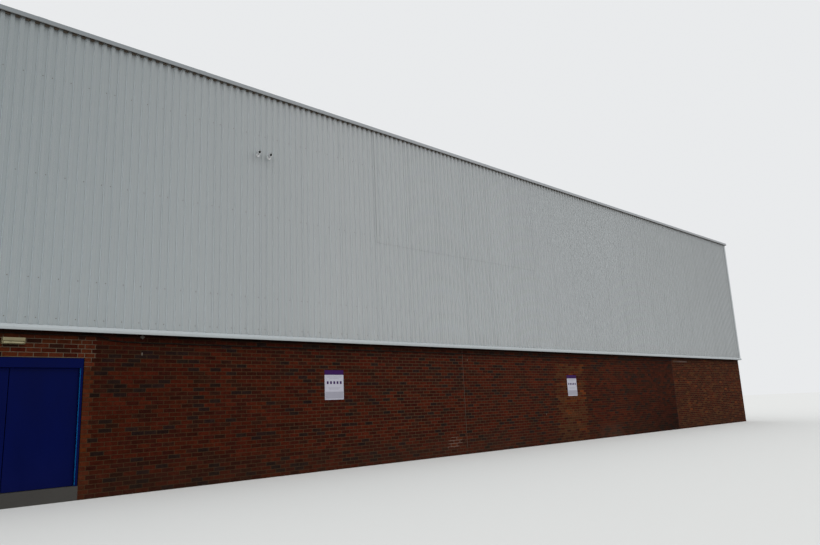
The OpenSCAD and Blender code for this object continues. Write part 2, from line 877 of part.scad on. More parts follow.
// Camera on a short arm, aimed down to the left: a base, an arm, a knuckle and a body under a hood
module camera() {
    r = camera_diameter / 2;
    base = 10;
    base_radius = 42;
    arm = 70;
    arm_radius = 13;
    knuckle_radius = 16;
    seat = 5;
    body_rise = 4;
    tail = camera_length * 0.3;
    hood_start = 20;
    recess = 12;
    rim = 7;
    translate([0, sheet_plane - base, 0]) rotate([-90, 0, 0]) cylinder(r = base_radius, h = base, $fn = 32);
    translate([0, sheet_plane - arm, 0]) rotate([-90, 0, 0]) cylinder(r = arm_radius, h = arm - seat, $fn = 24);
    translate([0, sheet_plane - arm, r + body_rise]) rotate([0, 0, -camera_turn]) rotate([90 - camera_dip, 0, 0])
    translate([0, 0, -tail]) difference() {
        union() {
            cylinder(r = r, h = camera_length, $fn = 32);
            translate([-r * 0.8, r * 0.62, hood_start]) cube([r * 1.6, r * 0.45, camera_length]);
        }
        translate([0, 0, camera_length - recess]) cylinder(r = r - rim, h = recess + hood_start + weld, $fn = 32);
    }
    translate([0, sheet_plane - arm, 0]) sphere(r = knuckle_radius, $fn = 24);
}

module cameras() {
    color("white") on_front() translate([from_left(first_camera_place), 0, camera_height]) {
        camera();
        translate([camera_spacing, 0, 0]) camera();
    }
}

module sign_panel(place, bottom) {
    middle = from_left(place);
    block(middle - sign_width / 2, middle + sign_width / 2, -sign_thickness, 0, bottom, bottom + sign_height);
}

module sign_panels() {
    color("white") on_front() {
        sign_panel(first_sign_place, first_sign_bottom);
        sign_panel(second_sign_place, second_sign_bottom);
    }
}

// Ring of points round the cable, at an [along, up] point on the brick face
function cable_ring(point) =
    let (r = cable_diameter / 2)
    [for (k = [0:cable_sides - 1]) [point[0], r * (cos(360 * k / cable_sides) - 1),
        point[1] + r * sin(360 * k / cable_sides)]];

// Cable along the brick face, through [along, up] points from left to right
module cable(route) {
    n = cable_sides;
    last = (len(route) - 1) * n;
    start_cap = [for (k = [0:n - 1]) k];
    end_cap = [for (k = [n - 1:-1:0]) last + k];
    sides = [for (i = [0:len(route) - 2]) for (k = [0:n - 1])
        [i * n + k, (i + 1) * n + k, (i + 1) * n + (k + 1) % n, i * n + (k + 1) % n]];
    polyhedron([for (point = route) each cable_ring(point)], concat([start_cap], sides, [end_cap]));
}

module wall_cable() {
    high = wall_top - cable_drop;
    low = high - cable_sag;
    bend = door_right + cable_bend;
    color("dimgray") on_front() cable([[from_left(cable_start), high], [bend, high],
        [bend + 2 * cable_sag, low + cable_sag / 4], [bend + 5 * cable_sag, low], [from_left(cable_end), low]]);
}

floor_slab();
door_threshold();
front_brick_left();
front_brick_right();
front_brick_over_door();
rear_brick();
left_brick();
right_brick();
front_inner_wall();
rear_inner_wall();
gable_inner_walls();
door_lintel();
front_columns();
rear_columns();
gable_posts();
front_rafters();
rear_rafters();
front_rails();
rear_rails();
gable_rails();
purlins();
front_cladding_left();
front_cladding_lower();
front_cladding_upper();
front_cladding_right();
rear_cladding_left();
rear_cladding_right();
left_cladding();
right_cladding();
base_flashings();
corner_flashings();
wall_capping();
parapet_lining();
front_roof_sheets();
rear_roof_sheets();
ridge_cap();
gutters();
door_frame();
over_door_panel();
left_door_leaf();
right_door_leaf();
door_light();
cameras();
sign_panels();
wall_cable();
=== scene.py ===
"""Looks of the supermarket building: brickwork laid brick by brick, coated steel sheets, doors and fittings.

Lengths are in metres and heights count from the foot of the wall. A place along a side is
counted from the left corner of its brickwork, as seen from outside.
"""

import logging
import math
from contextlib import contextmanager
from dataclasses import dataclass, field
from enum import Enum
from functools import partialmethod
from typing import Callable, Iterator, Sequence

import bpy
import numpy as np
from mathutils import Matrix, Vector


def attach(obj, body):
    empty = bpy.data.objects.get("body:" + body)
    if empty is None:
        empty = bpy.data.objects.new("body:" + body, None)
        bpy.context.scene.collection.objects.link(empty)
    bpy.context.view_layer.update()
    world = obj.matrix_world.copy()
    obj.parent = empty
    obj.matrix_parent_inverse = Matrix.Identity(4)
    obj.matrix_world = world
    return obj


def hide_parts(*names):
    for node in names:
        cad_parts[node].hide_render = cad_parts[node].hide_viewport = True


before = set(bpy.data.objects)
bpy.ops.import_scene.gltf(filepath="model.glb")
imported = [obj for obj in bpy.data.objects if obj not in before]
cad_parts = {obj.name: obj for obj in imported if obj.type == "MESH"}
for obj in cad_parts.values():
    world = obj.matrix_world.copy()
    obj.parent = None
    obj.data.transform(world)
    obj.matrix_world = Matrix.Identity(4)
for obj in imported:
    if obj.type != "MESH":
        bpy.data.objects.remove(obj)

log = logging.getLogger("supermarket")

Colour = tuple[float, float, float, float]
Point = tuple[float, float, float]
Piece = bpy.types.Object
Socket = bpy.types.NodeSocket
EdgeTest = Callable[[Vector, Vector], bool]
FaceTest = Callable[[bpy.types.MeshPolygon], bool]


def tint(*display: float) -> Colour:
    """Turns a display colour, red, green and blue from 0 to 255, into a shader's linear colour."""
    parts = [value / 255 for value in display]
    return *(part / 12.92 if part <= 0.04045 else ((part + 0.055) / 1.055) ** 2.4 for part in parts), 1.0


# Sides of the building


@dataclass(frozen=True)
class Wall:
    """One side of the building: its length, and how it stands in the frame."""

    name: str
    length: float
    reach: float
    turn: float

    def hang(self, name: str, *pieces: Piece) -> Piece:
        """Joins pieces and moves them from the side's own axes to the frame.

        Args:
            name: name of the joined piece.
            pieces: its parts, with X from the side's left corner and -Y outwards.

        Returns:
            The joined piece, in its place.
        """
        whole = join(name, *pieces)
        spin = Matrix.Rotation(math.radians(self.turn), 4, "Z")
        whole.data.transform(spin @ Matrix.Translation((-self.length / 2, -self.reach, 0.0)))
        return whole


LONG = 37.79
DEEP = 25.64
FRONT = Wall("front", LONG, DEEP / 2, 0.0)
REAR = Wall("rear", LONG, DEEP / 2, 180.0)
LEFT = Wall("left", DEEP, LONG / 2, -90.0)
RIGHT = Wall("right", DEEP, LONG / 2, 90.0)
WALLS = (FRONT, REAR, LEFT, RIGHT)

# Brickwork: its courses, and where the doorway and the later joints are in the front
COURSE = 0.075
WALL_TOP = 2.85
DOOR_LEFT = 7.246
DOOR_RIGHT = 9.45
DOOR_COURSES = 31
DOOR_HEAD = DOOR_COURSES * COURSE
LATE_JOINT = 31.16

# Cladding: its ribs, its side laps, and the stretch of the front that is made of two tiers
PITCH = 0.15314
CROWN = 0.062
RIB_DEPTH = 0.045
CROWNS_OUT = 0.1
LAP = PITCH * 7
FIRST_LAP = -0.014
SHEET_START = FIRST_LAP - CROWN / 2
RAILS = (2.94, 3.61, 5.41, 7.21)
TIERS_FIRST = 15
TIERS = 6
TIER_LAP = 5.271
TIER_LIFT = 0.003


def front_x(place: float) -> float:
    """Returns the frame's X of a place along the front."""
    return place - LONG / 2


# Modelling by hand: short steps of Blender's tools that the pieces share


def take(*pieces: Piece) -> None:
    """Selects pieces and nothing else, the first of them as the active one.

    Args:
        pieces: the pieces.
    """
    bpy.ops.object.select_all(action="DESELECT")
    for piece in reversed(pieces):
        piece.select_set(True)
        bpy.context.view_layer.objects.active = piece


@contextmanager
def edit(piece: Piece, edges: EdgeTest | None = None, faces: FaceTest | None = None) -> Iterator[None]:
    """Edits a piece with all of it selected, or only the elements that pass a test.

    Args:
        piece: the piece.
        edges: takes the two ends of an edge.
        faces: takes a face.

    Yields:
        Nothing, while the piece is in edit mode.
    """
    take(piece)
    bpy.ops.object.mode_set(mode="EDIT")
    if edges or faces:
        bpy.ops.mesh.select_mode(type="EDGE" if edges else "FACE")
        bpy.ops.mesh.select_all(action="DESELECT")
        bpy.ops.object.mode_set(mode="OBJECT")
        points = piece.data.vertices
        for edge in piece.data.edges if edges else ():
            edge.select = edges(*(points[end].co for end in edge.vertices))
        for face in piece.data.polygons if faces else ():
            face.select = faces(face)
        bpy.ops.object.mode_set(mode="EDIT")
    else:
        bpy.ops.mesh.select_all(action="SELECT")
    yield
    bpy.ops.object.mode_set(mode="OBJECT")


def extrude(out: float, up: float, across: float = 0.0) -> None:
    """Extrudes the selection by a distance across, out along Y, and up."""
    bpy.ops.mesh.extrude_region_move(TRANSFORM_OT_translate={"value": (across, out, up)})


def block(low: Sequence[float], high: Sequence[float], bevel: float = 0.0, segments: int = 1) -> Piece:
    """Adds a block between two corners and breaks its edges.

    Args:
        low: lowest corner.
        high: highest corner.
        bevel: width of the broken edges, or 0.
        segments: steps across a broken edge.

    Returns:
        The block, with its place in its mesh.
    """
    bpy.ops.mesh.primitive_cube_add(size=1, location=[(a + b) / 2 for a, b in zip(low, high)])
    piece = bpy.context.object
    piece.scale = [b - a for a, b in zip(low, high)]
    bpy.ops.object.transform_apply(location=True, rotation=True, scale=True)
    if bevel > 0:
        with edit(piece):
            bpy.ops.mesh.bevel(offset=bevel, segments=segments, affect="EDGES")
    return piece


def drum(radius: float, start: Point, end: Point, sides: int = 24, bevel: float = 0.0) -> Piece:
    """Adds a round bar between two points and breaks its two rims.

    Args:
        radius: radius of the bar.
        start: centre of its first end.
        end: centre of its other end.
        sides: number of sides round it.
        bevel: width of the broken rims, or 0.

    Returns:
        The bar, with its place in its mesh.
    """
    along = Vector(end) - Vector(start)
    bpy.ops.mesh.primitive_cylinder_add(vertices=sides, radius=radius, depth=along.length)
    piece = bpy.context.object
    if bevel > 0:
        near = along.length * 0.49
        with edit(piece, edges=lambda a, b: abs(a.z) > near and abs(a.z - b.z) < 1e-5):
            bpy.ops.mesh.bevel(offset=bevel, segments=2, affect="EDGES")
    turn = Vector((0, 0, 1)).rotation_difference(along).to_matrix().to_4x4()
    piece.data.transform(Matrix.Translation((Vector(start) + Vector(end)) / 2) @ turn)
    return piece


def copy(piece: Piece, move: Sequence[float]) -> Piece:
    """Copies a piece with its own mesh, and moves the copy.

    Args:
        piece: the piece.
        move: distance along the three axes.

    Returns:
        The copy.
    """
    twin = piece.copy()
    twin.data = piece.data.copy()
    twin.data.transform(Matrix.Translation(move))
    bpy.context.scene.collection.objects.link(twin)
    return twin


def modify(piece: Piece, kind: str, **settings: object) -> None:
    """Adds a modifier with its settings to a piece and applies it.

    Args:
        piece: the piece.
        kind: kind of modifier.
        settings: its own settings.
    """
    take(piece)
    modifier = piece.modifiers.new("step", kind)
    for name, value in settings.items():
        setattr(modifier, name, value)
    bpy.ops.object.modifier_apply(modifier=modifier.name)


def array(piece: Piece, count: int, across: float, up: float = 0.0) -> None:
    """Repeats a piece at even steps.

    Args:
        piece: the piece.
        count: number in all.
        across: step across.
        up: step up.
    """
    if count > 1:
        modify(piece, "ARRAY", count=count, use_relative_offset=False, use_constant_offset=True,
               constant_offset_displace=(across, 0, up))


def join(name: str, *pieces: Piece) -> Piece:
    """Joins pieces into the first of them and names it.

    Args:
        name: name of the whole.
        pieces: the pieces.

    Returns:
        The whole.
    """
    take(*pieces)
    if len(pieces) > 1:
        bpy.ops.object.join()
    pieces[0].name = pieces[0].data.name = name
    return pieces[0]


def smooth(degrees: float, *pieces: Piece) -> None:
    """Shades pieces smooth, with creases kept past an angle.

    Args:
        degrees: the angle.
        pieces: the pieces.
    """
    for piece in pieces:
        take(piece)
        bpy.ops.object.shade_smooth_by_angle(angle=math.radians(degrees))


def outward(face: bpy.types.MeshPolygon) -> bool:
    """Tells whether a face on a side's own axes looks out of the wall."""
    return face.normal.y < -0.5


# Node sheets


@dataclass(frozen=True)
class Area:
    """An upright rectangle on the front, for a local change of finish."""

    left: float
    right: float
    bottom: float
    top: float
    soft: float = 0.02


@dataclass
class Nodes:
    """A node tree, and one step that adds a node to it with its settings and entries."""

    tree: bpy.types.NodeTree

    def feed(self, node: bpy.types.Node, entries: dict[str | int, object]) -> None:
        """Links or sets a node's entries.

        Args:
            node: the node.
            entries: what each entry gets, by name or number.
        """
        for entry, value in entries.items():
            value = value.socket if isinstance(value, Level) else value
            if isinstance(value, Socket):
                self.tree.links.new(value, node.inputs[entry])
            else:
                node.inputs[entry].default_value = value

    def add(self, kind: str, entries: dict[str | int, object] | None = None,
            **settings: object) -> bpy.types.bpy_prop_collection:
        """Adds a node.

        Args:
            kind: kind of shader node.
            entries: its entries, by name or number.
            settings: its own settings.

        Returns:
            The node's outputs.
        """
        node = self.tree.nodes.new(f"ShaderNode{kind}")
        for name, value in settings.items():
            setattr(node, name, value)
        self.feed(node, entries or {})
        return node.outputs


@dataclass(frozen=True)
class Level:
    """A number in a node tree, which takes plain arithmetic and goes from one range to another."""

    nodes: Nodes
    socket: Socket

    def math(self, operation: str, other: object = 0.0) -> "Level":
        """Returns one step of arithmetic."""
        return Level(self.nodes, self.nodes.add("Math", {0: self, 1: other}, operation=operation)[0])

    def __rsub__(self, other: float) -> "Level":
        """Returns the difference from a plain number."""
        return Level(self.nodes, self.nodes.add("Math", {0: other, 1: self}, operation="SUBTRACT")[0])

    __add__ = partialmethod(math, "ADD")
    __sub__ = partialmethod(math, "SUBTRACT")
    __mul__ = partialmethod(math, "MULTIPLY")
    __truediv__ = partialmethod(math, "DIVIDE")
    __abs__ = partialmethod(math, "ABSOLUTE")

    def span(self, low: float, high: float, start: object = 0.0, end: object = 1.0) -> "Level":
        """Returns the number taken from one range to another, and held at its ends."""
        entries = dict(enumerate((self, low, high, start, end)))
        return Level(self.nodes, self.nodes.add("MapRange", entries)[0])

    def swing(self, start: float, end: float) -> "Level":
        """Returns noise taken from its usual range to another."""
        return self.span(0.3, 0.7, start, end)

    def band(self, low: float, high: float, soft: float) -> "Level":
        """Returns 1 between two values and 0 outside, with soft ends."""
        half = (high - low) / 2
        return abs(self - (low + high) / 2).span(half - soft / 2, half + soft / 2, 1.0, 0.0)


class NodeSheet(Nodes):
    """Node tree of one material, with its running colour and the few steps that the finishes share."""

    def __init__(self, name: str, colour: Colour | None) -> None:
        """Starts an empty material with its object coordinates.

        Args:
            name: name of the material.
            colour: its first colour, if any.
        """
        self.material = bpy.data.materials.new(name)
        self.material.use_nodes = True
        super().__init__(self.material.node_tree)
        self.tree.nodes.clear()
        self.colour: Colour | Socket | None = colour
        self.coordinates = self.add("TexCoord")["Object"]
        self.x, self.y, self.z = (Level(self, out) for out in self.add("SeparateXYZ", {0: self.coordinates}))

    def along(self, wall: Wall) -> Level:
        """Returns the place along a side, from its left corner."""
        axis = self.x if wall in (FRONT, REAR) else self.y
        return axis + wall.length / 2 if wall in (FRONT, RIGHT) else wall.length / 2 - axis

    def noise(self, scale: float, stretch: Sequence[float] = (1, 1, 1), detail: float = 3.0,
              rough: float = 0.55) -> Level:
        """Lays noise on object coordinates.

        Args:
            scale: how fine it is.
            stretch: factors along the three axes.
            detail: number of finer layers.
            rough: share of the finer layers.

        Returns:
            The noise.
        """
        mapped = self.add("Mapping", {0: self.coordinates, "Scale": stretch})[0]
        entries = {"Vector": mapped, "Scale": scale, "Detail": detail, "Roughness": rough}
        return Level(self, self.add("TexNoise", entries)["Fac"])

    def stain(self, share: object, shade: Colour) -> None:
        """Mixes a shade into the running colour."""
        self.colour = self.add("Mix", {0: share, 6: self.colour, 7: shade}, data_type="RGBA")[2]

    def grade(self, factor: object) -> None:
        """Multiplies the running colour by a grey factor."""
        colour = self.colour[:3] if isinstance(self.colour, tuple) else self.colour
        self.colour = self.add("VectorMath", {0: colour, "Scale": factor}, operation="SCALE")[0]

    def patch(self, area: Area) -> Level:
        """Marks an area of the front's brickwork.

        Args:
            area: the area.

        Returns:
            1 inside the area and 0 outside.
        """
        across = self.x.band(front_x(area.left), front_x(area.right), area.soft)
        face = self.y.span(0.02 - FRONT.reach, 0.01 - FRONT.reach)
        return across * self.z.band(area.bottom, area.top, area.soft) * face

    def weather_and_painted_shade(self, cloud: Level) -> None:
        """Paints shade on the brickwork towards the doors, adds dirt, bloom and marks, and paints shadow,
        partly soot, under the flashing at its top.

        Args:
            cloud: noise that makes the soiling uneven.
        """
        # painted shade: the brickwork darkens towards the doors and the left end
        self.grade(self.x.span(-9.4, -3.0, 0.76, 1.0))
        self.stain(self.z.span(0.15, 0.65, 0.32, 0.0) * cloud.span(0.3, 0.65, 0.5, 1.0), tint(41, 31, 23))
        bloom = self.noise(1.1, (1.0, 1.0, 2.0), detail=4.0)
        blooms = ((Area(15.6, 21.4, -0.5, 0.42, 0.5), 0.06, tint(76, 62, 50)),
                  (Area(25.6, 27.0, -0.5, 0.35, 0.4), 0.3, tint(76, 62, 50)),
                  (Area(31.29, 32.52, 2.575, 2.625), 0.8, tint(104, 88, 82)))
        for area, share, shade in blooms:
            self.stain(self.patch(area) * bloom.span(0.38, 0.62, share * 0.3, share), shade)
        marks = (Area(10.413, 10.433, 2.39, 2.44, 0.006), Area(19.18, 19.21, 2.435, 2.465, 0.01),
                 Area(22.59, 22.62, 0.875, 0.905, 0.01))
        for area in marks:
            self.stain(self.patch(area) * 0.7, tint(112, 106, 96))
        older = self.x.span(8.0, 12.0) * self.patch(Area(24.0, LATE_JOINT - 0.005, -1.0, 3.0, 0.008))
        self.grade(older.span(0.0, 1.0, 1.0, self.z.span(0.2, 1.6, 0.44, 0.72)))
        # painted shadow under the flashing, partly soot, darkest just below it
        self.stain(self.z.span(2.35, 2.66, 0.0, 0.30) + self.z.span(2.66, 2.74, 0.0, 0.45), tint(10, 6, 5))

    def bump(self, height: Level, depth: float, strength: float = 1.0) -> Socket:
        """Returns a normal bent by a height map whose full range is a depth in metres."""
        return self.add("Bump", {"Strength": strength, "Distance": depth, "Height": height})["Normal"]

    def grained(self, scale: float, depth: float, strength: float) -> Socket:
        """Returns a normal bent by fine even grain."""
        return self.bump(self.noise(scale, detail=2.0), depth, strength)

    def finish(self, roughness: object, specular: float, normal: Socket | None = None,
               metallic: float = 0.0) -> None:
        """Wires the shader with the running colour.

        Args:
            roughness: roughness, or a level.
            specular: specular level.
            normal: bent normal, if any.
            metallic: share of bare metal.
        """
        entries = {"Base Color": self.colour, "Roughness": roughness, "Metallic": metallic,
                   "Specular IOR Level": specular} | ({"Normal": normal} if normal else {})
        self.add("OutputMaterial", {"Surface": self.add("BsdfPrincipled", entries)[0]})


# Finishes


@dataclass(frozen=True)
class Finish:
    """A named finish with its first colour, if any. Each kind lays out its own nodes."""

    name: str
    colour: Colour | None

    def made(self) -> bpy.types.Material:
        """Makes the material.

        Returns:
            The material.
        """
        sheet = NodeSheet(self.name, self.colour)
        self.lay(sheet)
        return sheet.material

    def lay(self, sheet: NodeSheet) -> None:
        """Lays out the nodes."""
        raise NotImplementedError


@dataclass(frozen=True)
class FacingBrick(Finish):
    """Fired clay, with each brick's own colour from the wall's brick_colour attribute."""

    name: str = "facing_brick"
    colour: Colour | None = None
    grain: float = 0.0012

    def lay(self, sheet: NodeSheet) -> None:
        """Lays out the nodes.

        Args:
            sheet: node tree of the material.
        """
        sheet.colour = sheet.add("Attribute", attribute_name="brick_colour")["Color"]
        speckle = sheet.noise(60.0, detail=4.0)
        cloud = sheet.noise(13.0, detail=2.0)
        sheet.grade(speckle.swing(0.82, 1.2))
        sheet.grade(cloud.swing(0.76, 1.22))
        sheet.weather_and_painted_shade(cloud)
        sheet.finish(0.88, 0.04, sheet.bump(speckle, self.grain))


@dataclass(frozen=True)
class Mortar(Finish):
    """Brushed mortar behind and between the bricks, paler where the wall was rebuilt."""

    name: str = "mortar"
    colour: Colour = tint(69, 52, 35)
    grey: Colour = tint(76, 65, 52)
    pale: Colour = tint(104, 93, 78)
    fresh: Colour = tint(128, 112, 100)
    sand: Colour = tint(88, 74, 48)

    def lay(self, sheet: NodeSheet) -> None:
        """Lays out the nodes.

        Args:
            sheet: node tree of the material.
        """
        wide = sheet.noise(0.8)
        sheet.stain(wide.span(0.35, 0.7), tint(58, 43, 29))
        sheet.stain(sheet.x.span(-8.0, 0.0, 0.0, 0.5) * sheet.x.span(2.0, 6.0, 1.0, 0.1), self.grey)
        worn = sheet.noise(5.0)
        repairs = ((Area(6.97, 9.63, 2.30, 2.66, 0.04), 1.0, self.pale),
                   (Area(9.44, 9.57, 2.14, 2.33, 0.03), 0.7, self.pale),
                   (Area(18.26, 18.70, 0.20, 0.305), 1.0, self.fresh),
                   (Area(18.31, 18.82, 0.30, 0.385), 1.0, self.fresh),
                   (Area(18.42, 18.68, 0.375, 0.46), 1.0, self.fresh),
                   (Area(23.2, 24.88, 0.0, 2.40), 0.45, self.sand),
                   (Area(LATE_JOINT, 38.0, 0.0, WALL_TOP, 0.01), 0.75, self.sand))
        for area, share, shade in repairs:
            sheet.stain(sheet.patch(area) * worn.span(0.35, 0.6, share * 0.55, share), shade)
        sheet.weather_and_painted_shade(wide)
        grain = sheet.noise(140.0)
        sheet.grade(grain.swing(0.85, 1.15))
        sheet.finish(0.95, 0.03, sheet.bump(grain, 0.0015))


@dataclass(frozen=True)
class CoatedSheet(Finish):
    """Factory-coated profiled sheet of one side, with faint rain streaks, darker side laps, and painted light
    and shade on its ribs.
    """

    colour: Colour = tint(158, 161, 162)
    wall: Wall = FRONT
    shaded: Colour = tint(140, 147, 149)
    laps: tuple[tuple[int, float, float, float], ...] = ()
    end_lap: bool = False
    streaks: float = 0.006
    raised: float = 0.0
    trough_painted_shade: float = 0.94
    trough_painted_light_tilt: float = 0.035
    flank_painted_light_low: tuple[float, float] = (1.20, 0.88)
    flank_painted_light_high: float = 0.58
    lap_painted_light: float = 0.0

    def lay(self, sheet: NodeSheet) -> None:
        """Lays out the nodes.

        Args:
            sheet: node tree of the material.
        """
        place = sheet.along(self.wall)
        streak = sheet.noise(7.0, (1.0, 1.0, 0.01), detail=2.0)
        cloud = sheet.noise(0.25, detail=2.0)
        count = (place - SHEET_START) / LAP
        chance = sheet.add("TexWhiteNoise", {"W": count.math("FLOOR")}, noise_dimensions="1D")
        own = Level(sheet, chance["Value"])
        tone = own.span(0.0, 1.0, 0.994, 1.006) + streak.span(0.25, 0.75, self.streaks / 2, -self.streaks / 2)
        tone = tone * cloud.swing(0.988, 1.012) * sheet.z.span(3.0, 8.0, 1.02, 0.965)
        if self.wall is FRONT:
            # painted shade towards the left end of the front, more so up high; darker also towards the right
            # end
            near = place.span(6.4, 15.0, 1.0, 0.0)
            sheet.stain(near, self.shaded)
            tone = tone * (1.0 - near * sheet.z.span(3.5, 8.0, 0.0, 0.08)) * place.span(24.0, 37.8, 1.0, 0.88)
        # painted light and shade on the troughs and flanks, which evens out the ribs' own shading
        tone = tone * self.painted_light_and_shade(sheet, place)
        # painted light beside each side lap, against the shadow of the lap's edge
        if self.lap_painted_light > 0:
            tone = tone * count.math("FRACT").span(0.986, 0.988, 1.0, 1.0 + self.lap_painted_light)
        sheet.grade(tone)
        edge = abs((count + 0.5).math("FRACT") - 0.5)
        sheet.stain(edge.span(0.002, 0.006, 0.02, 0.0) * own.span(0.0, 1.0, 0.3, 1.0), tint(96, 98, 98))
        for number, low, high, share in self.laps:
            middle = SHEET_START + number * LAP
            line = place.band(middle - 0.012, middle + 0.004, 0.006) * sheet.z.band(low, high, 0.05)
            sheet.stain(line * share, tint(70, 68, 64))
        if self.end_lap:
            sheet.stain(sheet.z.band(TIER_LAP - 0.005, TIER_LAP + 0.005, 0.004) * 0.25, tint(92, 92, 92))
        sheet.stain(sheet.z.span(2.86, 3.3, 0.07, 0.0) * streak.span(0.35, 0.65), tint(120, 118, 110))
        sheet.finish(cloud.swing(0.42, 0.56), 0.05, sheet.grained(260.0, 0.0001, 0.3))

    def painted_light_and_shade(self, sheet: NodeSheet, place: Level) -> Level:
        """Gives the painted light and shade that evens out the ribs' own shading in the troughs and on the
        flanks.

        Args:
            sheet: node tree of the material.
            place: place along the side.

        Returns:
            Factor of the tone in the troughs and on the flanks.
        """
        top = self.wall.reach + CROWNS_OUT + self.raised
        foot = top - RIB_DEPTH
        out = abs(sheet.y if self.wall in (FRONT, REAR) else sheet.x)
        phase = ((place - FIRST_LAP) / PITCH).math("FRACT")
        # painted light and shade tilted across each trough, towards the left of the front
        grade = place.span(19.0, 24.0, self.trough_painted_light_tilt, 0.0) * phase.span(0.3, 0.7, -1.6, 1.0)
        trough = out.span(foot + 0.0015, foot + 0.0005, 1.0, grade + self.trough_painted_shade)
        # painted light on the flanks, stronger towards the left of the front
        inner = place.span(9.0, 16.5, *self.flank_painted_light_low)
        rise = out.span(foot + 0.001, top - 0.002, inner, self.flank_painted_light_high)
        return trough + out.band(foot + 0.001, top - 0.002, 0.003) * rise


@dataclass(frozen=True)
class RoofSheet(Finish):
    """Coated roof sheet, weathered darker, with washed and stained stretches."""

    name: str = "roof_sheets"
    colour: Colour = tint(120, 124, 126)

    def lay(self, sheet: NodeSheet) -> None:
        """Lays out the nodes.

        Args:
            sheet: node tree of the material.
        """
        cloud = sheet.noise(1.6, (1.0, 0.2, 1.0), detail=5.0, rough=0.6)
        sheet.grade(cloud.swing(0.88, 1.06))
        sheet.stain(cloud.span(0.6, 0.8, 0.0, 0.3), tint(92, 94, 84))
        sheet.finish(cloud.swing(0.5, 0.7), 0.15, sheet.grained(260.0, 0.0002, 0.4))


@dataclass(frozen=True)
class FoldedTrim(Finish):
    """Folded and coated flashing, with a dirty lower edge and a slow change of tone along the front."""

    right: Colour
    low_edge: float
    dirt: float

    def lay(self, sheet: NodeSheet) -> None:
        """Lays out the nodes.

        Args:
            sheet: node tree of the material.
        """
        cloud = sheet.noise(0.5, (1.0, 1.0, 0.3))
        spots = sheet.noise(3.0, (1.0, 1.0, 0.3))
        sheet.stain(sheet.x.span(-12.5, 1.0), self.right)
        sheet.grade(cloud.swing(0.975, 1.025))
        low = sheet.z.span(self.low_edge + 0.004, self.low_edge + 0.016, self.dirt, 0.0)
        sheet.stain(low * spots.span(0.3, 0.6, 0.6, 1.0), tint(82, 70, 54))
        sheet.finish(cloud.swing(0.42, 0.56), 0.15, sheet.grained(260.0, 0.0002, 0.4))


BASE_TRIM = FoldedTrim("base_trim", tint(160, 166, 168), tint(160, 165, 167), 2.753, 0.25)
CAPPING_TRIM = FoldedTrim("capping_trim", tint(121, 127, 130), tint(148, 151, 154), 8.188, 0.5)


@dataclass(frozen=True)
class Paint(Finish):
    """Brushed or sprayed paint with faint waves and dust low down.

    The frame's returns may carry a painted reflection of the sky in a lighter blue, and the leaves painted
    light near their top, against the shadow under the head.
    """

    rough: float = 0.4
    dust: Colour = tint(70, 66, 64)
    dust_top: float = 0.9
    dust_share: float = 0.12
    gloss: float = 0.3
    painted_sky_reflection: Colour | None = None
    return_face: float = 0.05
    top_painted_light: float = 0.0

    def lay(self, sheet: NodeSheet) -> None:
        """Lays out the nodes.

        Args:
            sheet: node tree of the material.
        """
        wave = sheet.noise(3.0, (1.0, 1.0, 0.35))
        sheet.grade(wave.swing(0.9, 1.1))
        sheet.stain(sheet.z.span(0.2, self.dust_top, self.dust_share, 0.0) * wave.swing(0.5, 1.2), self.dust)
        if self.top_painted_light > 0:
            # painted light on the top of the leaves, against the shadow under the door head
            sheet.grade(sheet.z.span(self.top_painted_light - 0.03, self.top_painted_light - 0.005, 1.0, 1.7))
        if self.painted_sky_reflection is not None:
            # painted reflection of the sky on the returns of the frame
            across = abs(sheet.x - front_x((DOOR_LEFT + DOOR_RIGHT) / 2))
            jamb = (DOOR_RIGHT - DOOR_LEFT) / 2 - self.return_face
            behind = sheet.y.span(0.055 - FRONT.reach, 0.05 - FRONT.reach)
            lit = across.band(jamb - 0.0015, jamb + 0.0015, 0.001) * sheet.z.band(0.24, 2.155, 0.01) * behind
            sheet.stain(lit, self.painted_sky_reflection)
        rough = wave.swing(self.rough - 0.06, self.rough + 0.08)
        sheet.finish(rough, self.gloss, sheet.grained(220.0, 0.0003, 0.5))


@dataclass(frozen=True)
class Galvanised(Finish):
    """Zinc-coated steel with its soft spangle."""

    name: str = "galvanised_steel"
    colour: Colour = tint(140, 145, 148)

    def lay(self, sheet: NodeSheet) -> None:
        """Lays out the nodes.

        Args:
            sheet: node tree of the material.
        """
        cells = sheet.add("TexVoronoi", {"Vector": sheet.coordinates, "Scale": 45.0})["Color"]
        tone, gloss, _ = (Level(sheet, out) for out in sheet.add("SeparateColor", {0: cells}))
        sheet.grade(tone.span(0.0, 1.0, 0.86, 1.08))
        sheet.stain(sheet.noise(2.0, detail=4.0).span(0.55, 0.75, 0.0, 0.25), tint(170, 172, 172))
        sheet.finish(gloss.span(0.0, 1.0, 0.36, 0.55), 0.5, metallic=0.75)


@dataclass(frozen=True)
class Concrete(Finish):
    """Cast concrete with pores and a cloudy tone."""

    pores: float = 0.003

    def lay(self, sheet: NodeSheet) -> None:
        """Lays out the nodes.

        Args:
            sheet: node tree of the material.
        """
        cloud = sheet.noise(1.4, detail=5.0)
        grain = sheet.noise(90.0, detail=4.0, rough=0.7)
        sheet.grade(cloud.swing(0.84, 1.12))
        sheet.grade(grain.swing(0.9, 1.08))
        sheet.finish(cloud.swing(0.78, 0.92), 0.3, sheet.bump(grain, self.pores))


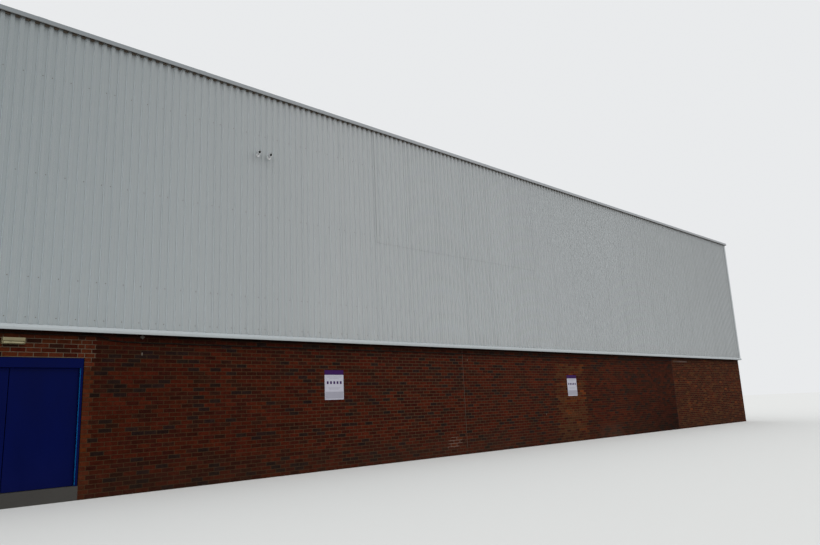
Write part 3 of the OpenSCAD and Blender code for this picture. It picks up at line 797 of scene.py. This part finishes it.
@dataclass(frozen=True)
class Blockwork(Finish):
    """Fair-faced concrete blocks, 440 by 215, in stretcher bond with flush joints."""

    colour: Colour = tint(150, 147, 140)
    other: Colour = tint(138, 134, 127)
    joints: Colour = tint(118, 114, 108)
    along_x: bool = True

    def lay(self, sheet: NodeSheet) -> None:
        """Lays out the nodes.

        Args:
            sheet: node tree of the material.
        """
        flat = sheet.add("CombineXYZ", {0: sheet.x if self.along_x else sheet.y, 1: sheet.z})[0]
        blocks = sheet.add("TexBrick", {
            "Vector": flat, "Scale": 1.0, "Brick Width": 0.45, "Row Height": 0.225, "Mortar Size": 0.005,
            "Mortar Smooth": 0.3, "Color1": self.colour, "Color2": self.other, "Mortar": self.joints})
        sheet.colour = blocks["Color"]
        pores = sheet.noise(110.0, detail=4.0, rough=0.75)
        sheet.grade(pores.swing(0.86, 1.1))
        sheet.finish(0.93, 0.2, sheet.bump(pores * 0.4 - Level(sheet, blocks["Fac"]), 0.004))


@dataclass(frozen=True)
class Moulding(Finish):
    """Moulded plastic with a fine grain and slight yellowing or dirt."""

    rough: float = 0.45
    soil: float = 0.15
    gloss: float = 0.2

    def lay(self, sheet: NodeSheet) -> None:
        """Lays out the nodes.

        Args:
            sheet: node tree of the material.
        """
        cloud = sheet.noise(14.0, (1.0, 1.0, 0.4), detail=4.0)
        sheet.stain(cloud.span(0.4, 0.75, 0.0, self.soil), tint(74, 66, 50))
        sheet.finish(self.rough, self.gloss, sheet.grained(400.0, 0.0003, 0.5))


# Brickwork


class Clay(Enum):
    """Colours in which the bricks were fired."""

    RED = tint(61, 21, 9)
    DEEP = tint(49, 17, 9)
    BROWN = tint(44, 20, 12)
    DARK = tint(33, 20, 17)
    BRIGHT = tint(75, 33, 16)
    ORANGE = tint(82, 37, 14)
    QUOIN = tint(77, 34, 17)
    SAND = tint(66, 34, 17)


class Cut(Enum):
    """Lengths of brick, as shares of a full brick and its joint."""

    FULL = 1.0
    THREE_QUARTER = 0.75
    HALF = 0.5
    CLOSER = 0.25


Cuts = tuple[tuple[Cut, int], ...]


@dataclass(frozen=True)
class Run:
    """Every second course of a stretch of wall, and the bricks it is laid with from left to right."""

    start: float
    cuts: Cuts
    first: int
    last: int = 38


def bond(start: float, bricks: float, half_on_odd: bool = True) -> tuple[Run, Run]:
    """Lays out plain stretcher bond between two upright joints.

    Args:
        start: where the stretch starts.
        bricks: its length in bricks, a whole number or with a half.
        half_on_odd: whether the odd courses are the ones that start with a half brick.

    Returns:
        Its even and its odd courses.
    """
    whole = int(bricks)
    end: Cuts = ((Cut.HALF, 1),)
    if bricks > whole:
        courses = ((Cut.FULL, whole), *end), (*end, (Cut.FULL, whole))
    else:
        courses = ((Cut.FULL, whole),), (*end, (Cut.FULL, whole - 1), *end)
    even, odd = courses if half_on_odd else reversed(courses)
    return Run(start, even, 0), Run(start, odd, 1)


def front_runs() -> list[Run]:
    """Lays out the front's brickwork, with its bonded jamb and the stretch over the doors.

    Returns:
        The runs.
    """
    full, three, half, closer = Cut.FULL, Cut.THREE_QUARTER, Cut.HALF, Cut.CLOSER
    under, over = DOOR_COURSES, DOOR_COURSES + 1
    return [
        Run(0.0, ((full, 32), (closer, 1)), 0, under),
        Run(0.0, ((half, 1), (full, 31), (three, 1)), 1, under),
        Run(0.0, ((full, 41), (three, 3), (full, 41), (closer, 1)), over),
        Run(0.0, ((half, 1), (full, 41), (half, 1), (three, 1), (full, 41), (three, 1)), under),
        Run(DOOR_RIGHT, ((half, 1), (three, 1), (full, 41), (closer, 1)), 0, under),
        Run(DOOR_RIGHT, ((three, 1), (full, 41), (three, 1)), 1, under),
        *bond(19.0125, 54, False),
        *bond(31.1625, 29.5, False),
    ]


@dataclass
class Brickwork:
    """Outer bricks of one side, as plates that stand proud of the mortar face."""

    wall: Wall
    runs: Sequence[Run]
    seed: int
    length: float = 0.215
    height: float = 0.065
    joint: float = 0.010
    proud: float = 0.0025
    arris: float = 0.0025

    def plate(self, cut: Cut) -> Piece:
        """Makes one open-backed brick face with broken edges.

        Args:
            cut: length of the brick.

        Returns:
            The face, at the origin.
        """
        length = cut.value * (self.length + self.joint) - self.joint
        piece = block((0, -self.proud, self.joint), (length, 0, self.joint + self.height))
        with edit(piece, faces=lambda face: face.normal.y > 0.5):
            bpy.ops.mesh.delete(type="FACE")
        with edit(piece, faces=outward):
            bpy.ops.transform.resize(value=(1 - 2 * self.arris / length, 1, 1 - 2 * self.arris / self.height))
        return piece

    def built(self) -> Piece:
        """Lays all runs of the side.

        Returns:
            The side's bricks as one piece.
        """
        kinds = {cut: self.plate(cut) for cut in Cut}
        plates = []
        for run in self.runs:
            place = run.start
            for cut, count in run.cuts:
                pitch = cut.value * (self.length + self.joint)
                piece = copy(kinds[cut], (place, 0, run.first * COURSE))
                array(piece, count, pitch)
                array(piece, len(range(run.first, run.last, 2)), 0, 2 * COURSE)
                plates.append(piece)
                place += pitch * count
        for piece in kinds.values():
            bpy.data.objects.remove(piece)
        bricks = join("bricks", *plates)
        self.colour(bricks)
        return self.wall.hang(f"{self.wall.name}_bricks", bricks)

    def colour(self, bricks: Piece) -> None:
        """Gives each brick its own fired colour as a colour attribute.

        Args:
            bricks: the side's bricks as one piece.
        """
        mesh = bricks.data
        corners = 8
        points = np.zeros(len(mesh.vertices) * 3, np.float32)
        mesh.vertices.foreach_get("co", points)
        centres = points.reshape(-1, corners, 3).mean(axis=1)
        place, course = centres[:, 0], np.floor(centres[:, 2] / COURSE)
        dice = np.random.default_rng(self.seed)
        roll = dice.random(len(centres))
        drift = 0.07 * np.sin(place * 1.3 + course * 0.21) * np.cos(course * 0.55 - place * 0.4)
        mixture = {Clay.RED: 0.45, Clay.DEEP: 0.30, Clay.BROWN: 0.14, Clay.DARK: 0.11}
        colours = self.drawn(roll + drift, mixture)
        if self.wall is FRONT:
            low = course * COURSE
            for area, mixture in self.repairs().items():
                level = (low >= area.bottom - 0.01) & (low < area.top)
                inside = (place > area.left) & (place < area.right) & level
                colours[inside] = self.drawn(roll, mixture)[inside]
        shade = dice.normal(1.0, 0.10, (len(centres), 1)).clip(0.7, 1.35)
        hue = dice.normal(1.0, 0.04, (len(centres), 3))
        colours[:, :3] *= shade * hue
        layer = mesh.color_attributes.new("brick_colour", "FLOAT_COLOR", "POINT")
        layer.data.foreach_set("color", np.repeat(colours, corners, axis=0).astype(np.float32).ravel())

    @staticmethod
    def drawn(roll: np.ndarray, mixture: dict[Clay, float]) -> np.ndarray:
        """Draws a colour for each roll, by the shares of a mixture.

        Args:
            roll: numbers from 0 to 1.
            mixture: share of each clay.

        Returns:
            The colours, one row for each roll.
        """
        shares = np.cumsum(list(mixture.values()))
        index = np.searchsorted(shares / shares[-1], roll.clip(0, 0.999))
        return np.array([clay.value for clay in mixture])[index.clip(0, len(mixture) - 1)].copy()

    @staticmethod
    def repairs() -> dict[Area, dict[Clay, float]]:
        """Lists the parts of the front that were laid later.

        Returns:
            The mixture of bricks in each part.
        """
        return {
            Area(6.97, 9.60, DOOR_HEAD, WALL_TOP):
                {Clay.BRIGHT: 0.70, Clay.RED: 0.12, Clay.BROWN: 0.12, Clay.DARK: 0.06},
            Area(DOOR_RIGHT, DOOR_RIGHT + 0.11, 0.0, DOOR_HEAD):
                {Clay.QUOIN: 0.7, Clay.BRIGHT: 0.2, Clay.ORANGE: 0.1},
            Area(23.25, 24.83, 0.0, 2.40):
                {Clay.SAND: 0.50, Clay.ORANGE: 0.12, Clay.RED: 0.28, Clay.DEEP: 0.10},
            Area(LATE_JOINT, LONG, 0.0, WALL_TOP):
                {Clay.SAND: 0.18, Clay.ORANGE: 0.02, Clay.RED: 0.35, Clay.DEEP: 0.45},
            Area(18.30, 18.78, 0.225, 0.45):
                {Clay.BRIGHT: 0.25, Clay.RED: 0.75},
        }


# Fixings and joints


@dataclass
class SheetFixings:
    """Coated screw heads with washers in the troughs of one side's sheets."""

    wall: Wall
    trough: float = CROWNS_OUT - RIB_DEPTH
    radius: float = 0.0095
    above_rail: float = 0.03
    in_sheet: int = 4

    def head(self) -> Piece:
        """Returns one screw head on its washer, at the origin."""
        washer = drum(self.radius, (0, 0, 0), (0, -0.002, 0), 8)
        return join("screw", washer, drum(self.radius * 0.55, (0, -0.002, 0), (0, -0.007, 0), 6))

    def stretches(self) -> list[tuple[int, int, float, float]]:
        """Splits each row of screws into stretches.

        Returns:
            First sheet, number of sheets, height and lift of each stretch.
        """
        sheets = int((self.wall.length + 0.1) / LAP)
        heights = [rail + self.above_rail for rail in RAILS]
        if self.wall is not FRONT:
            return [(0, sheets, height, 0.0) for height in heights]
        after = TIERS_FIRST + TIERS
        rows = [(0, sheets, height, 0.0) for height in heights[:2]]
        for height in heights[2:]:
            rows += [(0, TIERS_FIRST, height, 0.0), (after, sheets - after, height, 0.0)]
        return rows + [(TIERS_FIRST, TIERS, height, TIER_LIFT) for height in (5.302, 5.475, heights[3])]

    def built(self) -> Piece:
        """Sets out all screws of the side.

        Returns:
            The screws as one piece.
        """
        screw = self.head()
        rows = []
        for first, sheets, height, raised in self.stretches():
            start = FIRST_LAP + first * LAP + PITCH / 2
            row = copy(screw, (start, -self.trough - raised, height))
            array(row, self.in_sheet, 2 * PITCH)
            array(row, sheets, LAP)
            rows.append(row)
        bpy.data.objects.remove(screw)
        return self.wall.hang(f"{self.wall.name}_sheet_fixings", *rows)


@dataclass
class TroughClosures:
    """Dark foam blocks that close the troughs of one side's sheets under the capping."""

    wall: Wall
    bottom: float = 8.183
    height: float = 0.025
    rib: float = 0.09
    back: float = 0.057
    face: float = 0.098
    spread: float = 1.3

    def built(self) -> Piece:
        """Sets out all blocks of the side, each wider at its front like the trough.

        Returns:
            The blocks as one piece.
        """
        half = (PITCH - self.rib) / 2
        foam = block((-half, -self.face, self.bottom), (half, -self.back, self.bottom + self.height))
        with edit(foam, faces=outward):
            bpy.ops.transform.resize(value=(self.spread, 1, 1))
        foam.data.transform(Matrix.Translation((FIRST_LAP + PITCH / 2, 0, 0)))
        array(foam, int((self.wall.length + 0.05) / PITCH), PITCH)
        return self.wall.hang(f"{self.wall.name}_trough_closures", foam)


@dataclass
class ButtStraps:
    """Cover straps over the joints of the folded flashings, about every three metres."""

    wall: Wall
    name: str
    outline: Sequence[tuple[float, float]]
    width: float = 0.15
    thickness: float = 0.0012
    step: float = 3.0

    def built(self) -> Piece:
        """Folds one strap along the outline, given as outward and up, and repeats it.

        Returns:
            The side's straps as one piece.
        """
        bpy.ops.mesh.primitive_grid_add(x_subdivisions=1, y_subdivisions=len(self.outline) - 1, size=1)
        strap = bpy.context.object
        for vertex in strap.data.vertices:
            out, up = self.outline[vertex.index // 2]
            vertex.co = (math.copysign(self.width / 2, vertex.co.x), -out, up)
        modify(strap, "SOLIDIFY", thickness=self.thickness, offset=0.0)
        count = int(self.wall.length / self.step)
        first = (self.wall.length - (count - 1) * self.step) / 2
        strap.data.transform(Matrix.Translation((first, 0, 0)))
        array(strap, count, self.step)
        return self.wall.hang(f"{self.wall.name}_{self.name}", strap)


@dataclass
class MovementJoint:
    """Bead of sealant in an upright joint of the brickwork."""

    wall: Wall
    place: float
    bottom: float = 0.19
    top: float = 2.70
    width: float = 0.010

    def built(self) -> Piece:
        """Fills the joint with a bead, pressed slightly hollow along its middle.

        Returns:
            The bead.
        """
        half = self.width / 2
        bead = block((self.place - half, -0.0022, self.bottom), (self.place + half, 0.004, self.top))
        with edit(bead, faces=outward):
            bpy.ops.mesh.inset(thickness=self.width * 0.3, depth=-0.0012)
        return self.wall.hang(f"{self.wall.name}_joint_at_{round(self.place)}", bead)


# Fittings on the front


@dataclass
class DoorLight:
    """Bulkhead light over the doors: a cream body on a back plate, with a long diffuser under it."""

    centre: float = 8.348
    bottom: float = 2.525
    length: float = 0.33
    height: float = 0.107
    depth: float = 0.09
    glass_share: float = 0.38

    def built(self) -> tuple[Piece, ...]:
        """Builds the light.

        Returns:
            The body and the diffuser.
        """
        left, right = self.centre - self.length / 2, self.centre + self.length / 2
        low, top, face = self.bottom, self.bottom + self.height, -self.depth
        split, gap = low + self.height * self.glass_share, 0.003
        plate = block((left, -0.014, low), (right, 0, top), 0.002)
        body = block((left + gap, face, split + gap), (right - gap, -0.012, top - gap), 0.008, 3)
        caps = [block((at, face + 0.006, low + gap), (at + 0.014, -0.012, split + 2 * gap), 0.003, 2)
                for at in (left + gap, right - gap - 0.014)]
        glass = block((left + 0.016, face + 0.01, low + 0.006), (right - 0.016, -0.013, split + 0.001),
                      0.016, 4)
        light = FRONT.hang("door_light_body", plate, body, *caps), FRONT.hang("door_light_diffuser", glass)
        smooth(35, *light)
        return light


@dataclass
class CameraPair:
    """Two small cameras on the sheets: base, arm, knuckle, body with rain hood, and a glass front."""

    place: float = 12.714
    spacing: float = 0.276
    height: float = 6.755
    face: float = -CROWNS_OUT
    arm: float = 0.07
    turn: float = 25.0
    dip: float = 18.0
    radius: float = 0.037
    length: float = 0.15

    def body(self) -> tuple[Piece, Piece]:
        """Builds one camera, aimed along -Y with its pivot at the origin.

        Returns:
            Its shell and its glass front.
        """
        tail, nose = 0.3 * self.length, -0.7 * self.length
        shell = drum(self.radius, (0, tail, 0), (0, nose, 0), 32, 0.004)
        with edit(shell, faces=lambda face: face.center.y < nose + 0.001 and face.normal.y < -0.9):
            bpy.ops.mesh.inset(thickness=0.011)
            extrude(0.008, 0)
        hood = drum(self.radius + 0.005, (0, tail - 0.02, 0), (0, nose - 0.018, 0), 32)
        with edit(hood, faces=lambda face: abs(face.normal.y) > 0.9 or face.center.z < 0.008):
            bpy.ops.mesh.delete(type="FACE")
        modify(hood, "SOLIDIFY", thickness=0.002)
        glass = drum(self.radius - 0.0115, (0, nose + 0.0085, 0), (0, nose + 0.004, 0), 32, 0.001)
        eye = drum(0.012, (0, nose + 0.004, 0), (0, nose + 0.0005, 0), 24, 0.002)
        return join("shell", shell, hood), join("glass", glass, eye)

    def built(self) -> tuple[Piece, ...]:
        """Builds both cameras.

        Returns:
            All white parts and both glass fronts.
        """
        white, dark = [], []
        wall, tip, z = self.face, self.face - self.arm, self.height
        spin = Matrix.Rotation(math.radians(-self.turn), 4, "Z")
        aim = spin @ Matrix.Rotation(math.radians(self.dip), 4, "X")
        for at in (self.place, self.place + self.spacing):
            white.append(drum(0.042, (at, wall + 0.001, z), (at, wall - 0.012, z), 32, 0.003))
            white.append(drum(0.012, (at, wall - 0.01, z), (at, tip, z), 20))
            bpy.ops.mesh.primitive_uv_sphere_add(segments=20, ring_count=12, radius=0.017,
                                                 location=(at, tip, z))
            white.append(bpy.context.object)
            bpy.ops.object.transform_apply(location=True)
            white.append(drum(0.007, (at - 0.022, tip, z), (at + 0.022, tip, z), 12, 0.001))
            for group, piece in zip((white, dark), self.body()):
                piece.data.transform(Matrix.Translation((at, tip, z + self.radius + 0.004)) @ aim)
                group.append(piece)
        pair = FRONT.hang("camera_shells", *white), FRONT.hang("camera_glass", *dark)
        smooth(35, *pair)
        return pair


@dataclass
class SignPanel:
    """A plain notice panel: a white sheet with a purple header, and marks and rules for its words."""

    name: str
    centre: float
    bottom: float
    width: float = 0.52
    height: float = 0.65
    thickness: float = 0.004

    def built(self) -> tuple[Piece, ...]:
        """Builds the panel.

        Returns:
            The sheet, the purple marks and the grey rules.
        """
        half, top, face = self.width / 2, self.height, -self.thickness - 0.0015
        back, edge = face + 0.001, 0.0002
        sheet = block((-half, face, 0), (half, 0, top), 0.001)
        low, high = (-half - edge, face - 0.0006, top - 0.104), (half + edge, -0.001, top + edge)
        marks = [block(low, high, 0.0003)]
        for start in (0.055 - half + number * 0.09 for number in range(5)):
            low, high = (start, face - 0.0006, top - 0.305), (start + 0.05, back, top - 0.245)
            marks.append(block(low, high, 0.0003))
        rules = []
        for drop, inset in ((0.125, 0.04), (0.150, 0.06), (0.180, 0.13), (0.385, 0.09), (0.41, 0.12)):
            low, high = (inset - half, face - 0.0004, top - drop - 0.009), (half - inset, back, top - drop)
            rules.append(block(low, high, 0.0002))
        low, high = (0.012 - half, face - 0.0003, top - 0.625), (half - 0.012, back, top - 0.475)
        rules.append(block(low, high, 0.0001))
        for x in (0.02 - half, half - 0.02):
            for z, group in ((0.02, rules), (top - 0.02, marks)):
                group.append(drum(0.006, (x, face, z), (x, face - 0.002, z), 10, 0.0008))
        parts = (("sheet", [sheet]), ("marks", marks), ("rules", rules))
        whole = tuple(FRONT.hang(f"{self.name}_{kind}", *group) for kind, group in parts)
        for piece in whole:
            piece.data.transform(Matrix.Translation((self.centre, 0, self.bottom)))
        return whole


@dataclass
class WallCable:
    """Black cable clipped along the front under the flashing, with its clips and a small box."""

    route: Sequence[tuple[float, float]] = (
        (0.40, 2.71), (9.67, 2.71), (9.85, 2.6425), (10.12, 2.62), (31.14, 2.62))
    radius: float = 0.011
    clip_step: float = 0.9
    sag: float = 0.006
    box_place: Point = (10.414, 0.0, 2.722)
    box_half: float = 0.032

    def line(self) -> list[tuple[float, float]]:
        """Gives the route a slight sag between the clips.

        Returns:
            Places along the cable, as across and up.
        """
        points = []
        for (x, z), (next_x, next_z) in zip(self.route, self.route[1:]):
            steps = max(1, round((next_x - x) / (self.clip_step / 2)))
            for number in range(steps):
                share = number / steps
                sag = self.sag if number % 2 and steps > 2 else 0.0
                points.append((x + share * (next_x - x), z + share * (next_z - z) - sag))
        return points + [self.route[-1]]

    def built(self) -> tuple[Piece, ...]:
        """Builds the cable and what holds it.

        Returns:
            The cable, its clips and its small box.
        """
        points = self.line()
        bpy.ops.mesh.primitive_circle_add(vertices=10, radius=self.radius, fill_type="NGON",
                                          rotation=(0, math.pi / 2, 0))
        cable = bpy.context.object
        bpy.ops.object.transform_apply(rotation=True)
        cable.data.transform(Matrix.Translation((points[0][0], -self.radius - 0.0015, points[0][1])))
        with edit(cable):
            for (x, z), (next_x, next_z) in zip(points, points[1:]):
                extrude(0, next_z - z, next_x - x)
            bpy.ops.mesh.select_all(action="SELECT")
            bpy.ops.mesh.normals_make_consistent(inside=False)
        reach = self.radius + 0.002
        clips = [block((x - 0.006, -2 * reach, z - reach), (x + 0.006, 0, z + reach), 0.002)
                 for x, z in points[1:-1:2]]
        half = self.box_half
        box = block((-half, -0.022, -half), (half, 0, half), 0.005, 2)
        box.data.transform(Matrix.Translation(self.box_place) @ Matrix.Rotation(math.radians(45), 4, "Y"))
        smooth(60, cable)
        parts = (("clipped_cable", [cable]), ("cable_clips", clips), ("cable_box", [box]))
        return tuple(FRONT.hang(name, *group) for name, group in parts)


# Whole building


@dataclass
class Building:
    """The supermarket building with every finish and every small piece."""

    finishes: dict[str, bpy.types.Material] = field(default_factory=dict)

    def use(self, finish: Finish) -> bpy.types.Material:
        """Makes a finish's material, once.

        Args:
            finish: the finish.

        Returns:
            The material.
        """
        if finish.name not in self.finishes:
            self.finishes[finish.name] = finish.made()
        return self.finishes[finish.name]

    def add(self, piece: Piece, finish: Finish, slot: str, *replaced: str) -> None:
        """Dresses a new piece and hangs it on the building.

        Args:
            piece: the new piece.
            finish: its finish.
            slot: name of a material slot, not used.
            replaced: CAD nodes that it stands for.
        """
        piece.data.materials.clear()
        piece.data.materials.append(self.use(finish))
        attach(piece, "building")
        if replaced:
            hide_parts(*replaced)
        log.info("piece %s: %d faces", piece.name, len(piece.data.polygons))

    def dress(self, finish: Finish, nodes: str) -> None:
        """Assigns a finish to CAD nodes.

        Args:
            finish: the finish.
            nodes: names of the nodes in one line, with spaces between.
        """
        for node in nodes.split():
            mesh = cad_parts[node].data
            mesh.materials.clear()
            mesh.materials.append(self.use(finish))
            log.info("node %s: %s", node, finish.name)

    def dress_walls(self) -> None:
        """Dresses the brick, block, steel and concrete nodes."""
        self.dress(Mortar(), "front_brick_left front_brick_right front_brick_over_door")
        self.dress(Mortar(), "rear_brick left_brick right_brick")
        self.dress(Concrete("floor_concrete", tint(132, 130, 125)), "floor_slab")
        self.dress(Concrete("precast_concrete", tint(58, 56, 53)), "door_threshold door_lintel")
        self.dress(Blockwork("blockwork"), "front_inner_wall rear_inner_wall")
        self.dress(Blockwork("gable_blockwork", along_x=False), "gable_inner_walls")
        self.dress(Paint("grey_primed_steel", tint(112, 116, 120), 0.55),
                   "front_columns rear_columns gable_posts front_rafters rear_rafters")
        self.dress(Galvanised(), "front_rails rear_rails gable_rails purlins gutters")

    def dress_skin(self) -> None:
        """Dresses the cladding, the trims, the roof and the doors."""
        laps = ((TIERS_FIRST, 5.2, 8.25, 0.03), (18, WALL_TOP, 5.27, 0.03))
        self.dress(CoatedSheet("front_wall_sheets", laps=laps), "front_cladding_left front_cladding_right")
        self.dress(CoatedSheet("lower_tier_sheets", laps=laps, end_lap=True), "front_cladding_lower")
        upper = CoatedSheet("upper_tier_sheets", laps=laps, end_lap=True, raised=TIER_LIFT, lap_painted_light=0.07)
        self.dress(upper, "front_cladding_upper")
        self.dress(CoatedSheet("rear_wall_sheets", wall=REAR), "rear_cladding_left rear_cladding_right")
        self.dress(CoatedSheet("left_wall_sheets", wall=LEFT), "left_cladding")
        self.dress(CoatedSheet("right_wall_sheets", wall=RIGHT), "right_cladding")
        self.dress(BASE_TRIM, "base_flashings corner_flashings")
        self.dress(CAPPING_TRIM, "wall_capping")
        self.dress(RoofSheet(), "front_roof_sheets rear_roof_sheets ridge_cap parapet_lining")
        door = {"colour": tint(2, 9, 57), "rough": 0.35, "dust_share": 0.02, "gloss": 0.02}
        self.dress(Paint("door_frame_paint", **door, painted_sky_reflection=tint(18, 104, 170)),
                   "door_frame over_door_panel")
        self.dress(Paint("door_leaf_paint", **door, top_painted_light=2.152), "left_door_leaf right_door_leaf")

    def lay_bricks(self) -> None:
        """Lays the bricks of all four sides."""
        rear = (*bond(0.0, 84), *bond(18.9, 84))
        gable = bond(0.0, 114, False)
        for seed, (wall, runs) in enumerate(zip(WALLS, (front_runs(), rear, gable, gable)), 11):
            self.add(Brickwork(wall, runs, seed).built(), FacingBrick(), "brick")

    def add_joints_and_fixings(self) -> None:
        """Adds sealant beads, screws and straps."""
        sealant = Moulding("joint_sealant", tint(70, 60, 50), 0.7, 0.4)
        dark_sealant = Moulding("dark_joint_sealant", tint(44, 32, 25), 0.7)
        joints = ((FRONT, 19.0075, sealant), (FRONT, 31.1575, dark_sealant), (REAR, 18.895, sealant))
        for wall, place, finish in joints:
            self.add(MovementJoint(wall, place).built(), finish, "brick")
        heads = Moulding("screw_heads", tint(114, 109, 102), 0.4)
        foam = Moulding("closure_foam", tint(114, 104, 94), 0.9, 0.1, 0.02)
        drip_fold = ((0.103, 2.8465), (0.1335, 2.7958), (0.1335, 2.7525))
        cap_fold = ((0.1615, 8.189), (0.1615, 8.2765), (0.02, 8.2705))
        for wall in WALLS:
            self.add(SheetFixings(wall).built(), heads, "cladding")
            self.add(TroughClosures(wall).built(), foam, "cladding")
            self.add(ButtStraps(wall, "drip_straps", drip_fold).built(), BASE_TRIM, "trim")
            self.add(ButtStraps(wall, "capping_straps", cap_fold).built(), CAPPING_TRIM, "trim")

    def add_fittings(self) -> None:
        """Adds the light, the cameras, the signs and the cable."""
        body, diffuser = DoorLight().built()
        self.add(body, Moulding("cream_moulding", tint(118, 110, 82), 0.4), "light", "door_light")
        self.add(diffuser, Moulding("diffuser", tint(150, 143, 112), 0.25, 0.3), "light")
        shells, fronts = CameraPair().built()
        self.add(shells, Moulding("camera_white", tint(222, 224, 226), 0.35), "camera", "cameras")
        self.add(fronts, Moulding("camera_glass", tint(12, 12, 14), 0.08, 0.0), "camera")
        for name, centre, bottom in (("first_sign", 14.72, 1.5), ("second_sign", 24.1, 1.4)):
            sheet, marks, rules = SignPanel(name, centre, bottom).built()
            self.add(sheet, Moulding("sign_white", tint(168, 167, 178), 0.3, 0.05), "sign", "sign_panels")
            self.add(marks, Moulding("sign_purple", tint(50, 22, 72), 0.4, 0.05, 0.03), "sign")
            self.add(rules, Moulding("sign_grey", tint(142, 141, 152), 0.3, 0.05), "sign")
        cable, clips, box = WallCable().built()
        rubber = Moulding("cable_rubber", tint(20, 15, 13), 0.6, 0.1, 0.04)
        self.add(cable, rubber, "cable", "wall_cable")
        self.add(clips, rubber, "cable")
        self.add(box, Moulding("box_grey", tint(72, 68, 64), 0.6, 0.2, 0.1), "cable")

    def built(self) -> None:
        """Builds and dresses everything."""
        self.dress_walls()
        self.dress_skin()
        self.lay_bricks()
        self.add_joints_and_fixings()
        self.add_fittings()


# Studio


@dataclass
class Studio:
    """Plain pale floor, soft light from an even sky and one wide lamp, and the photograph's camera."""

    eye: Point = (-13.161, -24.912, 1.253)
    yaw: float = 43.492
    pitch: float = 11.551
    roll: float = -2.517
    focal: float = 660.95
    picture_width: float = 820.0
    sensor: float = 36.0
    sky: float = 1.05
    sky_colour: Colour = (0.97, 0.985, 1.0, 1.0)
    backdrop: float = 0.84
    lamp: float = 1.0
    lamp_aim: Point = (0.3, -1.0, 0.6)

    def camera(self) -> None:
        """Sets the photograph's camera, whose focal length is fitted in pixels."""
        bpy.ops.object.camera_add(location=self.eye)
        camera = bpy.context.object
        turns = ((-self.yaw, "Z"), (90.0 + self.pitch, "X"), (self.roll, "Z"))
        yaw, pitch, roll = (Matrix.Rotation(math.radians(angle), 3, axis) for angle, axis in turns)
        camera.rotation_euler = (yaw @ pitch @ roll).to_euler()
        camera.data.sensor_width = self.sensor
        camera.data.lens = self.focal * self.sensor / self.picture_width
        camera.data.clip_end = 1000.0
        bpy.context.scene.camera = camera

    def floor(self) -> None:
        """Lays the floor, pale to the camera and a little darker for the light that it returns."""
        bpy.ops.mesh.primitive_circle_add(vertices=96, radius=400, fill_type="NGON", location=(0, 0, -0.002))
        ground = bpy.context.object
        ground.name = "studio_floor"
        sheet = NodeSheet("studio_floor", tint(170, 168, 164))
        path = sheet.add("LightPath")
        seen = Level(sheet, path["Is Camera Ray"]).math("MAXIMUM", path["Is Glossy Ray"])
        sheet.stain(seen, tint(214, 214, 212))
        sheet.finish(0.9, 0.0)
        ground.data.materials.append(sheet.material)

    def light(self) -> None:
        """Sets the even sky, which the camera sees paler, and one wide soft sun."""
        world = bpy.data.worlds.new("studio_sky")
        bpy.context.scene.world = world
        world.use_nodes = True
        nodes = Nodes(world.node_tree)
        path = nodes.add("LightPath")
        seen = Level(nodes, path["Is Camera Ray"])
        for name in ("Is Glossy Ray", "Is Transmission Ray"):
            seen = seen.math("MAXIMUM", path[name])
        strength = seen.span(0.0, 1.0, self.sky, self.backdrop)
        nodes.feed(world.node_tree.nodes["Background"], {"Color": self.sky_colour, "Strength": strength})
        bpy.ops.object.light_add(type="SUN", location=(20, -60, 40))
        sun = bpy.context.object
        sun.data.energy = self.lamp
        sun.data.angle = math.radians(60)
        sun.rotation_euler = Vector(self.lamp_aim).to_track_quat("Z", "Y").to_euler()

    def built(self) -> None:
        """Sets up floor, light and camera."""
        self.camera()
        self.floor()
        self.light()
        bpy.context.scene.view_settings.view_transform = "Standard"


def main() -> None:
    """Builds the scene."""
    logging.basicConfig(level=logging.INFO, format="%(message)s")
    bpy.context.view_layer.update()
    Studio().built()
    Building().built()
    take()


if __name__ == "__main__":
    main()
